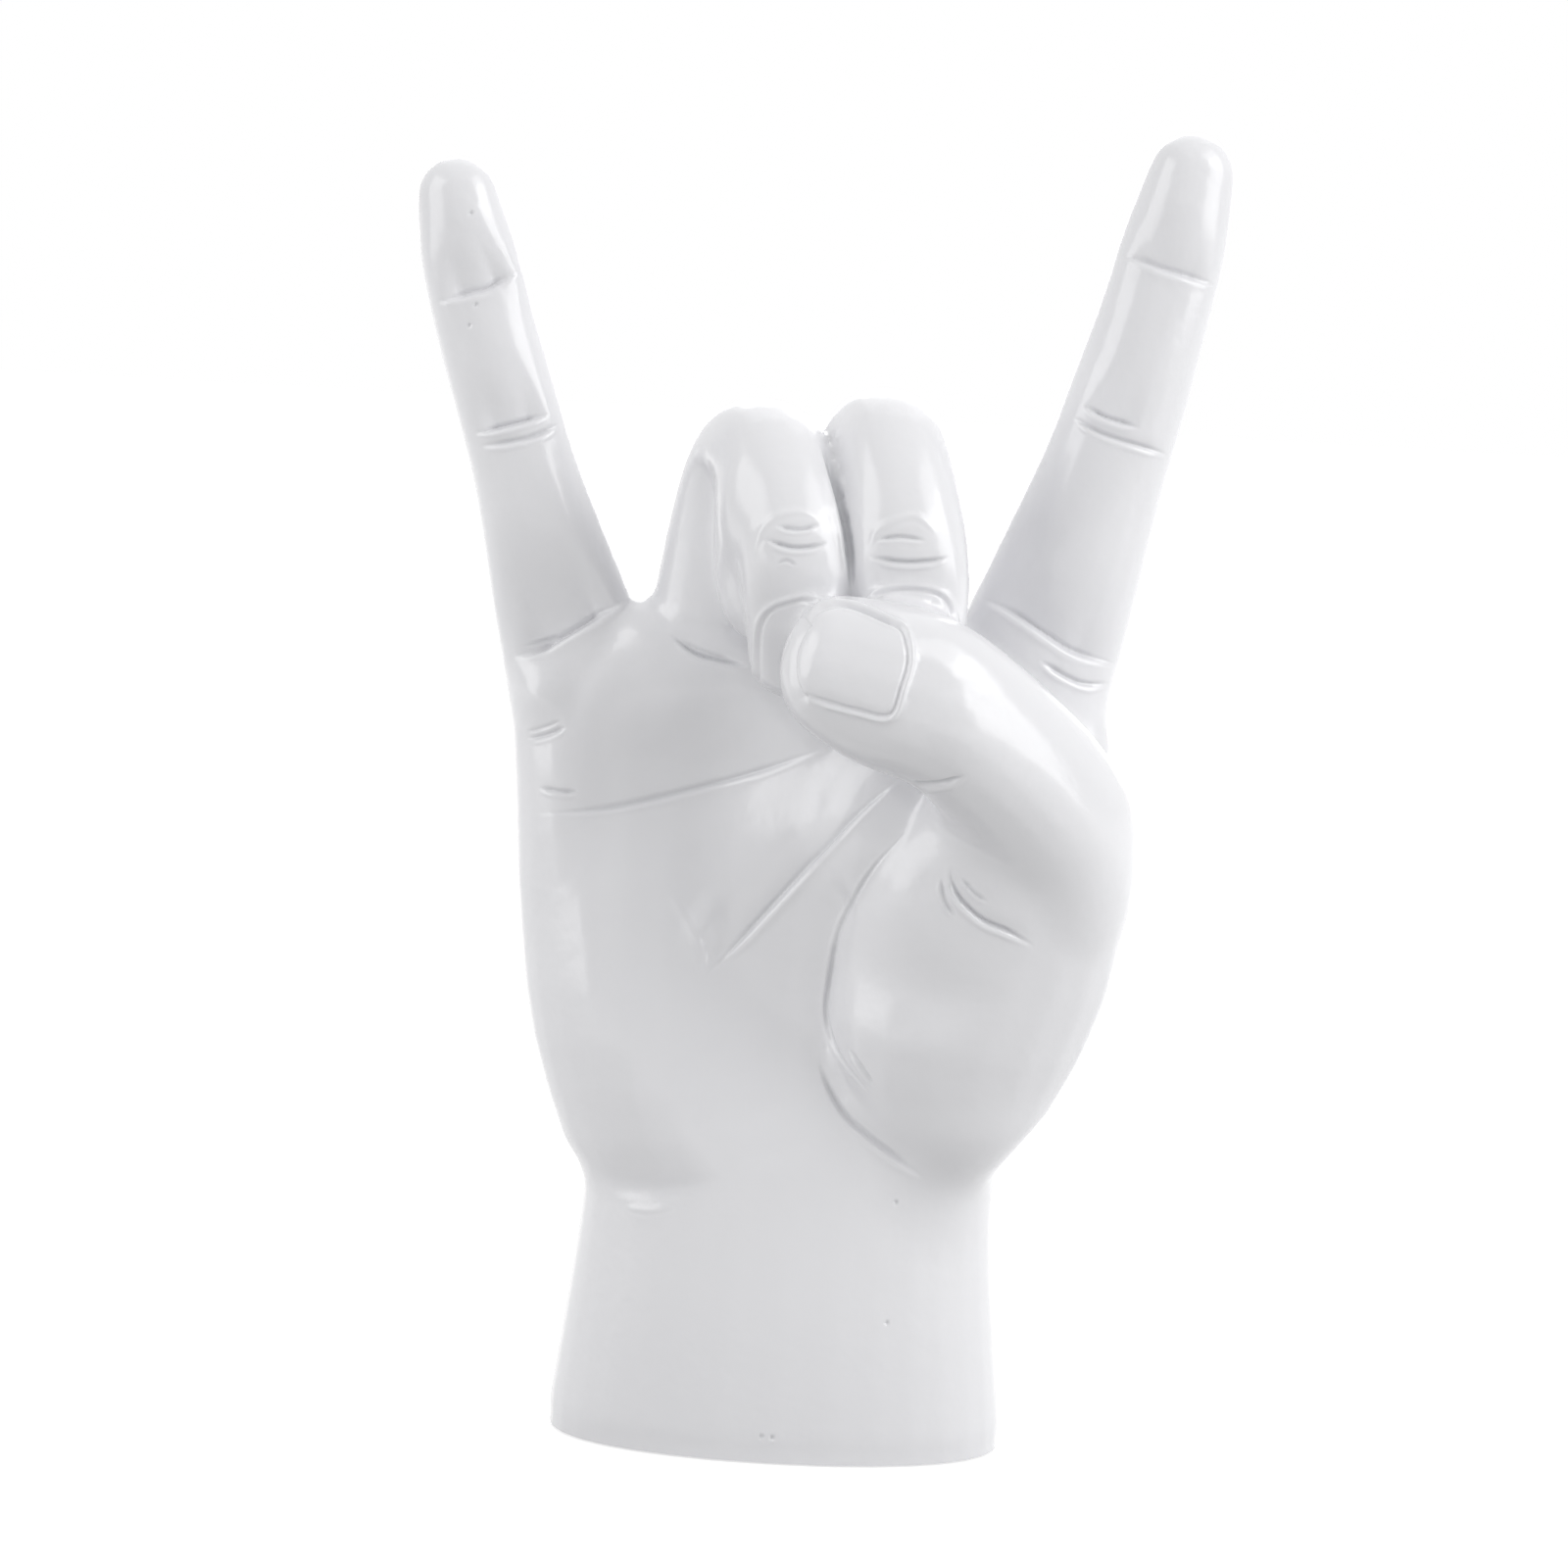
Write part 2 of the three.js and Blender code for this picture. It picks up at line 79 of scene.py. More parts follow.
# %% Place the camera
TARGET = Vector((-3.9, 0, 100.5)) * MM
CAMERA_DISTANCE = 0.8
CAMERA_ELEVATION = math.radians(7)
CAMERA_ROLL = math.radians(3.2)
LENS = 120.8
SENSOR = 36.0
CLIP_START = 0.01

scene = bpy.context.scene
to_camera = Vector((0, -math.cos(CAMERA_ELEVATION), math.sin(CAMERA_ELEVATION)))
level = (-to_camera).to_track_quat("-Z", "Y").to_matrix()
camera_turn = level @ Matrix.Rotation(CAMERA_ROLL, 3, "Z")
camera_place = TARGET + to_camera * CAMERA_DISTANCE
bpy.ops.object.camera_add(location=camera_place, rotation=camera_turn.to_euler())
camera = bpy.context.object
camera.name = "photo_camera"
camera.data.lens = LENS
camera.data.sensor_width = SENSOR
camera.data.clip_start = CLIP_START
scene.camera = camera
print("camera: lens", LENS, "mm at", [round(v, 3) for v in camera_place])

# %% [markdown]
# ## The studio
#
# The photograph is high key: a white ground, soft boxes on the right and left, a high one on the right, one
# above and one behind, and much fill, so that the white paint shows only pale greys. Large area lamps give
# the soft edges. The floor adds light of its own for the camera and in mirror images only, so it reads as
# white and still keeps the shadow of the hand.

# %% Floor and world
FLOOR_SIZE = 6.0
FLOOR_DIFFUSE = 0.48
FLOOR_GLOW = 0.72
GLOW_START = 0.12
GLOW_FULL = 0.6
WORLD_FILL = 0.6


def shader_node(tree, kind, constants=None, links=None, **settings):
    """Adds a node to a tree, with settings of its own and with constants and links on its inputs."""
    made = tree.nodes.new("ShaderNode" + kind)
    for key, value in settings.items():
        setattr(made, key, value)
    for key, value in (constants or {}).items():
        made.inputs[key].default_value = value
    for key, output in (links or {}).items():
        tree.links.new(output, made.inputs[key])
    return made


def combine(tree, operation, first, second):
    """One value made of two by a maths node."""
    return shader_node(tree, "Math", None, {0: first, 1: second}, operation=operation).outputs[0]


def camera_rays(tree):
    """1 for rays from the camera and in mirrors or glass, and 0 for other rays."""
    path = shader_node(tree, "LightPath").outputs
    mirrored = combine(tree, "MAXIMUM", path["Is Camera Ray"], path["Is Glossy Ray"])
    return combine(tree, "MAXIMUM", mirrored, path["Is Transmission Ray"])


def floor_material():
    """Pale paper that glows for the camera, a little by the hand and fully further off."""
    material = bpy.data.materials.new("studio_paper")
    material.use_nodes = True
    tree = material.node_tree
    tree.nodes.clear()
    paper = shader_node(tree, "BsdfDiffuse", {"Color": (FLOOR_DIFFUSE, FLOOR_DIFFUSE, FLOOR_DIFFUSE, 1)})
    place = shader_node(tree, "TexCoord").outputs["Object"]
    reach = shader_node(tree, "VectorMath", None, {0: place}, operation="LENGTH")
    limits = {"From Min": GLOW_START, "From Max": GLOW_FULL, "To Min": FLOOR_GLOW, "To Max": 1.0}
    distance = {"Value": reach.outputs["Value"]}
    share = shader_node(tree, "MapRange", limits, distance, interpolation_type="SMOOTHSTEP")
    strength = combine(tree, "MULTIPLY", camera_rays(tree), share.outputs[0])
    glow = shader_node(tree, "Emission", None, {"Strength": strength})
    both = shader_node(tree, "AddShader", None, {0: paper.outputs[0], 1: glow.outputs[0]})
    shader_node(tree, "OutputMaterial", None, {"Surface": both.outputs[0]})
    return material


bpy.ops.mesh.primitive_plane_add(size=FLOOR_SIZE, location=(0, 0, 0))
floor = bpy.context.object
floor.name = "studio_floor"
floor.data.materials.append(floor_material())
floor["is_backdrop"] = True

world = bpy.data.worlds.new("studio_world")
world.use_nodes = True
scene.world = world
background = world.node_tree.nodes["Background"]
background.inputs["Color"].default_value = (1, 1, 1, 1)
seen_world = {"Value": camera_rays(world.node_tree)}
fill = shader_node(world.node_tree, "MapRange", {"To Min": WORLD_FILL, "To Max": 1.0}, seen_world)
world.node_tree.links.new(fill.outputs[0], background.inputs["Strength"])
scene.view_settings.view_transform = "Standard"
print("studio: floor", FLOOR_SIZE, "m, fill", WORLD_FILL)

# %% Lamps
LAMPS = {
    # name: (place, width and height in metres, power in watts)
    "right_box": ((0.85, -0.35, 0.45), 0.6, 0.9, 4.1),
    "left_box": ((-0.85, -0.35, 0.45), 0.6, 0.9, 3.0),
    "high_box": ((0.75, -0.35, 0.95), 0.6, 0.6, 1.6),
    "top_box": ((0, 0.6, 1.0), 1.0, 0.8, 1.2),
    "back_box": ((0.1, 0.9, 0.5), 0.8, 0.8, 3.8),
}
for name, (place, width, height, power) in LAMPS.items():
    bpy.ops.object.light_add(type="AREA", location=place)
    lamp = bpy.context.object
    lamp.name = name
    lamp.data.shape = "RECTANGLE"
    lamp.data.size = width
    lamp.data.size_y = height
    lamp.data.energy = power
    lamp.rotation_euler = (TARGET - Vector(place)).to_track_quat("-Z", "Y").to_euler()
print("studio: lamps", ", ".join(LAMPS))

# %% [markdown]
# ## One skin over six castings
#
# Paint covers the joints of the real hand, so its surface runs on from palm to finger. Each casting could be
# dressed alone, but then every joint would show. Instead the six castings, their rods and the plug are
# copied, swelled until the glue lines close, joined, and remeshed to one skin of small quads. What was hollow
# becomes a loose inner shell, and only the outer shell is kept.
#
# Smoothing rounds every edge, but the wrist ends in a clean saw cut. So a slice of the wrist, with a plug in
# it, is added below: the rounding falls there and is cut off at the end. Two balls of flesh fill what the
# castings leave too deep, in the crook of the ring finger and in the web of the thumb.

# %% Copy the castings
CASTINGS = ("palm", "index_finger", "middle_finger", "ring_finger", "little_finger", "thumb")
RODS = ("index_rod", "middle_rod", "ring_rod", "little_rod", "thumb_rod")
FILLERS = RODS + ("base_plug",)
MERGE_DISTANCE = 0.001 * MM


def only(obj):
    """Makes one object the selected and active one."""
    bpy.ops.object.select_all(action="DESELECT")
    obj.select_set(True)
    bpy.context.view_layer.objects.active = obj


@contextlib.contextmanager
def editing(obj, whole=True):
    """Opens an object in edit mode, with the whole mesh selected or as it was, and closes it again."""
    only(obj)
    bpy.ops.object.mode_set(mode="EDIT")
    if whole:
        bpy.ops.mesh.select_all(action="SELECT")
    yield
    bpy.ops.object.mode_set(mode="OBJECT")


def node_copy(node):
    """A free copy of a CAD node, with its loose triangles merged."""
    only(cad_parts[node])
    bpy.ops.object.duplicate()
    copy = bpy.context.object
    copy.parent = None
    for key in list(copy.keys()):
        del copy[key]
    copy.data.materials.clear()
    with editing(copy):
        bpy.ops.mesh.remove_doubles(threshold=MERGE_DISTANCE)
    return copy


copies = [node_copy(node) for node in CASTINGS + FILLERS]
print("copies:", len(CASTINGS), "castings and", len(FILLERS), "parts that fill them")

# %% Lengthen the wrist
FOOT_SLICE = 5.0 * MM
FOOT_EXTRA = 4.5 * MM

foot = node_copy("palm")
slice_top = (0, 0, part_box("palm")[0][2] + FOOT_SLICE)
with editing(foot):
    bpy.ops.mesh.bisect(plane_co=slice_top, plane_no=(0, 0, 1), use_fill=True, clear_outer=True)
for added in (foot, node_copy("base_plug")):
    with editing(added):
        bpy.ops.transform.translate(value=(0, 0, -FOOT_EXTRA))
    copies.append(added)
print("wrist: longer by", round(FOOT_EXTRA / MM, 1), "mm")

# %% Swell, fill and join
SWELL = 0.22 * MM
VOXEL = 0.72 * MM
FLESH_BALLS = {
    # name: (centre and half sizes in mm, turn about z in degrees)
    "crook of the ring finger": ((-12.4, -16.5, 144), (4.2, 9.5, 10.5), 0),
    "web of the thumb": ((15, -14.0, 98), (16, 4.8, 14), -22),
}
BALL_FACES = {"segments": 32, "ring_count": 16}


def apply_modifier(obj, kind, **settings):
    """Adds a modifier, sets it and applies it."""
    only(obj)
    modifier = obj.modifiers.new(kind.lower(), kind)
    for key, value in settings.items():
        setattr(modifier, key, value)
    bpy.ops.object.modifier_apply(modifier=modifier.name)


for copy in copies:
    apply_modifier(copy, "DISPLACE", strength=SWELL, mid_level=0)
for centre, halves, turn in FLESH_BALLS.values():
    placing = {"location": Vector(centre) * MM, "rotation": (0, 0, math.radians(turn)), "scale": halves}
    bpy.ops.mesh.primitive_uv_sphere_add(radius=MM, **BALL_FACES, **placing)
    copies.append(bpy.context.object)
    only(copies[-1])
    bpy.ops.object.transform_apply(location=True, rotation=True, scale=True)
skin = copies[0]
only(skin)
for copy in copies:
    copy.select_set(True)
bpy.ops.object.join()
apply_modifier(skin, "REMESH", mode="VOXEL", voxel_size=VOXEL)
print("skin:", len(skin.data.polygons), "faces after remeshing")

# %% Keep the outer shell
with editing(skin):
    bpy.ops.mesh.separate(type="LOOSE")
shells = sorted(bpy.context.selected_objects, key=lambda shell: len(shell.data.vertices))
skin = shells.pop()
for shell in shells:
    bpy.data.objects.remove(shell)
skin.name = "skin"
print("skin:", len(skin.data.polygons), "faces in the outer shell,", len(shells), "inner shells removed")

# %% [markdown]
# ## Soften the skin
#
# The castings are lofts with flat facets, and where two of them cross the valley is sharp. A smooth modifier
# rubs the facets out, as sandpaper does on a real casting. The knuckles, the webs between the fingers and the
# root of the thumb get many more passes, held by a vertex group, until one form flows into the next.

# %% Rub out the facets
SANDING_PASSES = 20
RUB_FACTOR = 0.5
LEAST_WEIGHT = 0.002


def read(data, name, width=1, kind=float):
    """One property of all points, edges, faces or corners, as an array."""
    values = np.empty(len(data) * width, kind)
    data.foreach_get(name, values)
    return values.reshape(-1, width) if width > 1 else values


def skin_points():
    """The skin's vertices and their normals, as arrays in metres."""
    return read(skin.data.vertices, "co", 3), read(skin.data.vertices, "normal", 3)


def weighted_modifier(kind, weights, **settings):
    """Applies a modifier to the skin through a vertex group with the given weights."""
    group = skin.vertex_groups.new(name="weights")
    for index in np.flatnonzero(weights > LEAST_WEIGHT):
        group.add([int(index)], float(weights[index]), "REPLACE")
    apply_modifier(skin, kind, vertex_group=group.name, **settings)
    skin.vertex_groups.clear()


def rub(weights, passes):
    """Smooths the skin, as strongly as the weights say."""
    weighted_modifier("SMOOTH", weights, factor=RUB_FACTOR, iterations=passes)


apply_modifier(skin, "SMOOTH", factor=RUB_FACTOR, iterations=SANDING_PASSES)
print("skin: rubbed", SANDING_PASSES, "times")

# %% Blend the roots and knuckles
BLEND_PASSES = 130
BLENDS = {
    # name: (centre and reach in mm)
    "thumb root": ((42, -22, 92), (16, 16, 18)),
    "thumb web": ((22, -22, 98), (12, 14, 10)),
    "thumb notch": ((16, -28, 101), (9, 12, 9)),
    "palm by the thumb": ((4, -15, 97), (20, 14, 20)),
    "thumb heel": ((24, -16, 47), (26, 18, 15)),
    "knuckles": ((0, 15, 110), (60, 12, 22)),
    "index root": ((40, 0, 118), (16, 14, 12)),
    "little root": ((-42, 0, 116), (14, 14, 12)),
    "ring crook": ((-13, -19, 142), (10, 15, 17)),
}


def falloff(share):
    """1 at the centre, 0 at a share of 1 and beyond, smooth at both ends."""
    left = np.clip(1 - share, 0, 1)
    return left * left * (3 - 2 * left)


def in_oval(places, centre, reach):
    """1 in the middle of an oval in space and 0 at its edge; centre and reach are in mm."""
    return falloff(np.linalg.norm((places / MM - centre) / reach, axis=1))


places, normals = skin_points()
blend = np.zeros(len(places))
for centre, reach in BLENDS.values():
    blend = np.maximum(blend, in_oval(places, centre, reach))
rub(blend, BLEND_PASSES)
print("skin: blended", int((blend > 0).sum()), "points at", ", ".join(BLENDS))

# %% [markdown]
# ## Where the folds go
#
# A sculptor scores the folds of the skin with a loop tool while looking at the hand from the front. The same
# is done here: a fold is a short list of points in the photograph's own frame of 1600 pixels a side, and the
# camera above throws it onto the first surface that it meets. Folds on the back can't be seen there, so they
# are drawn in millimetres, looking at the back of the hand.

# %% Two drawing boards
FRAME_SIDE = 1600
MM_PER_PIXEL = SENSOR / LENS * CAMERA_DISTANCE / FRAME_SIDE / MM
LINE_STEPS = 12


def photo_board(points):
    """Where points in metres lie on the photograph, in mm on its plane through the target."""
    relative = points - np.array(camera_place)
    right, up, back = np.array(camera_turn).T
    depth = -(relative @ back)
    scale = CAMERA_DISTANCE / MM
    return np.stack([relative @ right / depth * scale, relative @ up / depth * scale], axis=1)


def back_board(points):
    """Where points in metres lie as seen from behind: x and z in mm."""
    return points[:, [0, 2]] / MM


boards = {
    # name: (drawing board, direction from a point to the viewer)
    "photo": (photo_board, lambda points: np.array(camera_place) - points),
    "back": (back_board, lambda points: np.tile((0.0, 1.0, 0.0), (len(points), 1))),
}


def photo_line(pixels):
    """Pixels of the photograph as mm on its plane."""
    corner = np.array(pixels, float) - FRAME_SIDE / 2
    return corner * (MM_PER_PIXEL, -MM_PER_PIXEL)


def rounded(points):
    """A smooth line through a few points."""
    points = np.array(points, float)
    ends = np.vstack([2 * points[0] - points[1], points, 2 * points[-1] - points[-2]])
    steps = np.linspace(0, 1, LINE_STEPS, endpoint=False)[:, None]
    line = []
    for before, start, end, after in zip(ends, ends[1:], ends[2:], ends[3:]):
        bend = 2 * before - 5 * start + 4 * end - after
        rest = 3 * (start - end) + after - before
        line.append(start + steps * ((end - before) + steps * (bend + steps * rest)) / 2)
    return np.vstack(line + [points[-1:]])


def facing(board, places, normals):
    """How squarely each point faces the viewer of a board."""
    away = boards[board][1](places)
    away = away / np.linalg.norm(away, axis=1)[:, None]
    return np.einsum("ij,ij->i", normals, away)


def to_line(points, line):
    """The distance of flat points to a line, above zero on its left, and the share of the line passed."""
    spans = np.diff(line, axis=0)
    lengths = np.linalg.norm(spans, axis=1)
    travelled = np.concatenate([[0], np.cumsum(lengths)])
    best = np.full(len(points), np.inf)
    side = np.ones(len(points))
    along = np.zeros(len(points))
    for start, span, length, before in zip(line, spans, lengths, travelled):
        offset = points - start
        share = np.clip(offset @ span / length**2, 0, 1)
        distance = np.linalg.norm(offset - share[:, None] * span, axis=1)
        nearer = distance < best
        best[nearer] = distance[nearer]
        side[nearer] = np.where(span[0] * offset[nearer, 1] - span[1] * offset[nearer, 0] < 0, -1, 1)
        along[nearer] = (before + share[nearer] * length) / travelled[-1]
    return best * side, along


print("boards:", ", ".join(boards), "- one pixel is", round(MM_PER_PIXEL, 4), "mm")

# %% [markdown]
# ## Flesh and hollows
#
# The lofts of the source give the hand its main forms. Flesh is softer: the pulp of the thumb bulges, the
# palm rises towards the thumb and is hollow beside it, its outer edge and the heel of the thumb are full, and
# the root of the little finger and the ends of the folded fingers sink back. Each of these is an oval in
# space with a height, and a displace modifier lifts the skin by it.

# %% Lift and sink the flesh
FLESH = {
    # name: (centre, reach and height in mm, casting or None for any, direction of the lift)
    "pulp of the thumb": ((3.0, -33.0, 109.3), (15, 14, 9), 2.2, "thumb", "NORMAL"),
    "palm under the thumb": ((8.0, -12.0, 91.0), (26, 18, 33), 6.8, None, "Y"),
    "hollow of the palm": ((-18.5, -9.0, 101.0), (20, 16, 23), -3.2, "palm", "Y"),
    "outer edge of the palm": ((-38.5, -8.0, 103.0), (9, 12, 22), 1.3, "palm", "Y"),
    "heel of the thumb": ((28.0, -14.0, 47.0), (20, 18, 15), 2.6, "palm", "Y"),
    "root of the little finger": ((-41.5, -9.0, 125.0), (12, 12, 25), -2.0, None, "Y"),
    "end of the ring finger": ((-3.4, -30.0, 124.0), (12, 12, 15), -3.0, "ring_finger", "Y"),
    "end of the middle finger": ((13.0, -32.0, 126.0), (12, 12, 15), -3.0, "middle_finger", "Y"),
}
BORDER_PASSES = 24


def nearest_casting(places):
    """The number of the casting that each point lies on."""
    corners, triangles, owners = [], [], []
    for number, node in enumerate(CASTINGS):
        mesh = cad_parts[node].data
        start = len(corners)
        corners += [tuple(vertex.co) for vertex in mesh.vertices]
        triangles += [[start + corner for corner in polygon.vertices] for polygon in mesh.polygons]
        owners += [number] * len(mesh.polygons)
    tree = BVHTree.FromPolygons(corners, triangles)
    return np.array([owners[tree.find_nearest(Vector(place))[2]] for place in places])


def press(amounts, direction="NORMAL"):
    """Moves each point of the skin by its amount in mm, along its normal or an axis."""
    for way in (-1, 1):
        share = np.clip(amounts * way, 0, None)
        most = share.max()
        if most > 0:
            strength = way * most * MM
            weighted_modifier("DISPLACE", share / most, direction=direction, strength=strength, mid_level=0)


def spread(values, passes):
    """Evens values out over the skin: in each pass a point takes the average with its neighbours."""
    edges = read(skin.data.edges, "vertices", 2, int)
    first, second = edges.T
    count = len(values)
    neighbours = np.bincount(edges.ravel(), minlength=count)
    for _ in range(passes):
        from_first = np.bincount(second, weights=values[first], minlength=count)
        from_second = np.bincount(first, weights=values[second], minlength=count)
        values = (values + from_first + from_second) / (1 + neighbours)
    return values


places, normals = skin_points()
casting = nearest_casting(places)
lifted = {"NORMAL": np.zeros(len(places)), "Y": np.zeros(len(places))}
for centre, reach, height, node, direction in FLESH.values():
    belongs = casting == CASTINGS.index(node) if node else 1
    lifted[direction] += height * in_oval(places, centre, reach) * belongs
press(spread(lifted["NORMAL"], BORDER_PASSES))
press(-spread(lifted["Y"], BORDER_PASSES), "Y")
print("flesh:", ", ".join(FLESH))

# %% [markdown]
# ## The edge of the thumb's ball
#
# In the source the ball of the thumb meets the hollow of the palm in a steep wall. On the real hand it rises
# from the crease like a dome, in a slope that catches the light. So the wall is pared down: what stands
# further out than a slope from the crease is pushed back along y by a displace modifier, and then rubbed
# smooth, together with the pocket that is left at the top of the crease. The level of the palm is measured on
# the skin itself, in a strip beside the crease.

# %% Pare the wall down to a slope
BALL_CREASE = [(938, 834), (895, 881), (872, 917), (856, 952), (847, 996), (843, 1040), (842, 1090)]
SLOPE = 1.1
SLOPE_LENGTH = 22.0
STRIP = (-4.0, -1.0)
STRIP_DEGREE = 3
PARED_PASSES = 140
FADE_TOP = 0.15
FADE_FOOT = 0.5
FADE_BORDER = 0.4
FADE_CREASE = (-1.0, 0.5)
FADE_FAR_START = SLOPE_LENGTH - 6
FADE_FAR_LENGTH = 12
RUB_START = (0.3, 2.0)
ON_PALM = 0.9
SEEN_WELL = 0.3
TURNED_AWAY = -0.7
CREASE_TOP = (10, -18, 91)
CREASE_TOP_REACH = (10, 13, 13)


def ramp(values, low, high):
    """0 below low, 1 above high and smooth between."""
    share = np.clip((values - low) / (high - low), 0, 1)
    return share * share * (3 - 2 * share)


places, normals = skin_points()
front = -places[:, 1] / MM
distance, along = to_line(photo_board(places), rounded(photo_line(BALL_CREASE)))
seen = facing("photo", places, normals)
palm_share = spread((casting == CASTINGS.index("palm")).astype(float), BORDER_PASSES)
strip = (distance > STRIP[0]) & (distance < STRIP[1]) & (palm_share > ON_PALM) & (seen > SEEN_WELL)
palm_level = np.polynomial.Polynomial.fit(along[strip], front[strip], STRIP_DEGREE)(along)
run = np.clip(distance, 0, SLOPE_LENGTH)
slope_front = palm_level + SLOPE * run * (1 - run / (2 * SLOPE_LENGTH))
ends = ramp(along, 0, FADE_TOP) * ramp(1 - along, 0, FADE_FOOT)
ends *= ramp(palm_share, FADE_BORDER, 1) * (seen > TURNED_AWAY) * ramp(distance, *FADE_CREASE)
ends *= falloff(np.clip(distance - FADE_FAR_START, 0, None) / FADE_FAR_LENGTH)
pared = np.clip(front - slope_front, 0, None) * ends
press(pared, "Y")
pocket = in_oval(places, CREASE_TOP, CREASE_TOP_REACH)
rub(np.maximum(ends * ramp(distance, *RUB_START), pocket), PARED_PASSES)
print("ball of the thumb: pared by up to", round(pared.max(), 1), "mm along the crease")

# %% [markdown]
# ## Soft pads
#
# Between its folds the flesh swells: a pad on each joint of a finger, the pads under the fingers, the heel of
# the hand. Each pad is an oval in the picture with a height in millimetres. The whole skin could be sculpted
# with a brush, but an oval with a smooth edge is a brush stroke that comes out the same each time.

# %% Raise the pads
PADS = {
    # name: (centre in pixels, half width, half length, turn in degrees, height in mm)
    "little tip": ((478, 222), 44, 62, 10, 0.5),
    "little middle": ((508, 372), 42, 70, 14, 0.3),
    "little root": ((556, 548), 62, 105, 17, 0.4),
    "index tip": ((1206, 205), 46, 66, -11, 0.5),
    "index middle": ((1163, 352), 46, 76, -14, 0.3),
    "index root": ((1096, 540), 66, 110, -17, 0.4),
    "under little finger": ((552, 706), 42, 48, 10, 1.7),
    "under ring finger": ((690, 712), 62, 54, 0, 0.6),
    "heel of the hand": ((620, 1050), 105, 180, 8, 0.5),
    "fold by the head line": ((716, 946), 24, 52, -25, 0.8),
    "thumb joint": ((985, 745), 52, 52, 0, 0.5),
}
SIGHT_LIFT = 0.4 * MM
LEAST_CHANGE = 0.02


def sight(board, places, normals, picks):
    """1 where the viewer of a board sees a picked point, and 0 where the skin hides it."""
    to_viewer = boards[board][1](places)
    tree = BVHTree.FromObject(skin, bpy.context.evaluated_depsgraph_get())
    clear = np.zeros(len(places))
    for index in picks:
        start = Vector(places[index] + normals[index] * SIGHT_LIFT)
        hit = tree.ray_cast(start, Vector(to_viewer[index]).normalized(), CAMERA_DISTANCE)[0]
        clear[index] = hit is None
    return clear


places, normals = skin_points()
flat = photo_board(places)
face = np.clip(facing("photo", places, normals), 0, None)
raised = np.zeros(len(places))
for centre, half_width, half_length, turn, height in PADS.values():
    across = flat - photo_line([centre])[0]
    angle = math.radians(turn)
    wide = across[:, 0] * math.cos(angle) + across[:, 1] * math.sin(angle)
    long = across[:, 1] * math.cos(angle) - across[:, 0] * math.sin(angle)
    share = np.hypot(wide / (half_width * MM_PER_PIXEL), long / (half_length * MM_PER_PIXEL))
    raised += height * falloff(share) * face
clear = sight("photo", places, normals, np.flatnonzero(raised > LEAST_CHANGE))
press(raised * clear)
print("pads:", len(PADS), "raised, the highest by", round(raised.max(), 2), "mm")

# %% [markdown]
# ## Draw the folds
#
# Each fold has a depth and a half width. Where a pad rolls down into its fold, as at the finger joints, the
# skin above the line is pressed in more and more towards the line, over some millimetres. That shades the pad
# and leaves the thin bright lip below that the photograph shows. The skin below can sink as well, as in the
# lines of the palm. Lines run from left to right, so the pad that rolls is the one above.

# %% A fold
EDGE_REACH = 4.0
LIP = 0.35
BACK_LIP = 0.1
SLIM = 0.6
SPECIAL = {"middle line": dict(lip=0.7), "thumb nail fold": dict(on="thumb")}
# Sizes are in mm, with drawn widths times SLIM. A depth below zero makes a ridge, the lip is a share of the
# depth, and on is one casting, or None for any.
Fold = collections.namedtuple("Fold", "board line depth width roll below reach lip on",
                              defaults=(0.0, 0.0, EDGE_REACH, LIP, None))
folds = []


def fold(pixels, depth, width, *more, **special):
    """A fold on the photograph."""
    folds.append(Fold("photo", rounded(photo_line(pixels)), depth, width * SLIM, *more, **special))


def back_fold(points, depth, width, lip=BACK_LIP):
    """A fold on the back of the hand, with its points in mm."""
    folds.append(Fold("back", rounded(points), depth, width, lip=lip))


def draw_folds(table):
    """Draws every fold of a table."""
    for name, (sizes, pixels) in table.items():
        fold(pixels, *sizes, **SPECIAL.get(name, {}))
    print("folds:", ", ".join(table))


# %% Folds of the raised fingers
# A row holds the depth and width, some the roll, the sinking below and the reach, and the line in pixels.
RAISED_FOLDS = {
    "little tip": ((0.2, 0.8, 2.4, 0.9, 14), [(446, 310), (480, 301), (502, 295), (533, 277)]),
    "little joint": ((0.35, 0.6, 1.6, 0, 14), [(484, 444), (522, 435), (547, 428), (562, 423)]),
    "little joint below": ((0.35, 0.6, 0.35, 0, 2.4), [(490, 457), (522, 452), (547, 446), (574, 433)]),
    "little root": ((0.3, 0.8, 3.2, 1.0, 21), [(524, 673), (554, 662), (576, 650), (609, 632), (640, 613)]),
    "little root above": ((0.3, 0.5), [(530, 660), (550, 655), (570, 648)]),
    "index tip": ((0.25, 0.8, 1.5, 0.5, 12), [(1138, 262), (1160, 266), (1183, 275), (1205, 282),
        (1225, 288), (1244, 295)]),
    "index joint": ((0.35, 0.6, 0.9, 0, 12), [(1103, 413), (1120, 424), (1138, 431), (1164, 438)]),
    "index joint below": ((0.35, 0.6, 0.35, 0, 2.4), [(1092, 426), (1116, 440), (1138, 449), (1167, 458),
        (1194, 467)]),
    "index root": ((0.3, 0.8, 2.0, 0.5, 16), [(998, 611), (1030, 626), (1067, 650), (1097, 668),
        (1142, 681)]),
    "index root below": ((0.4, 0.6, 0.3, 0, 3), [(1058, 674), (1085, 691), (1108, 700), (1134, 699)]),
}
draw_folds(RAISED_FOLDS)

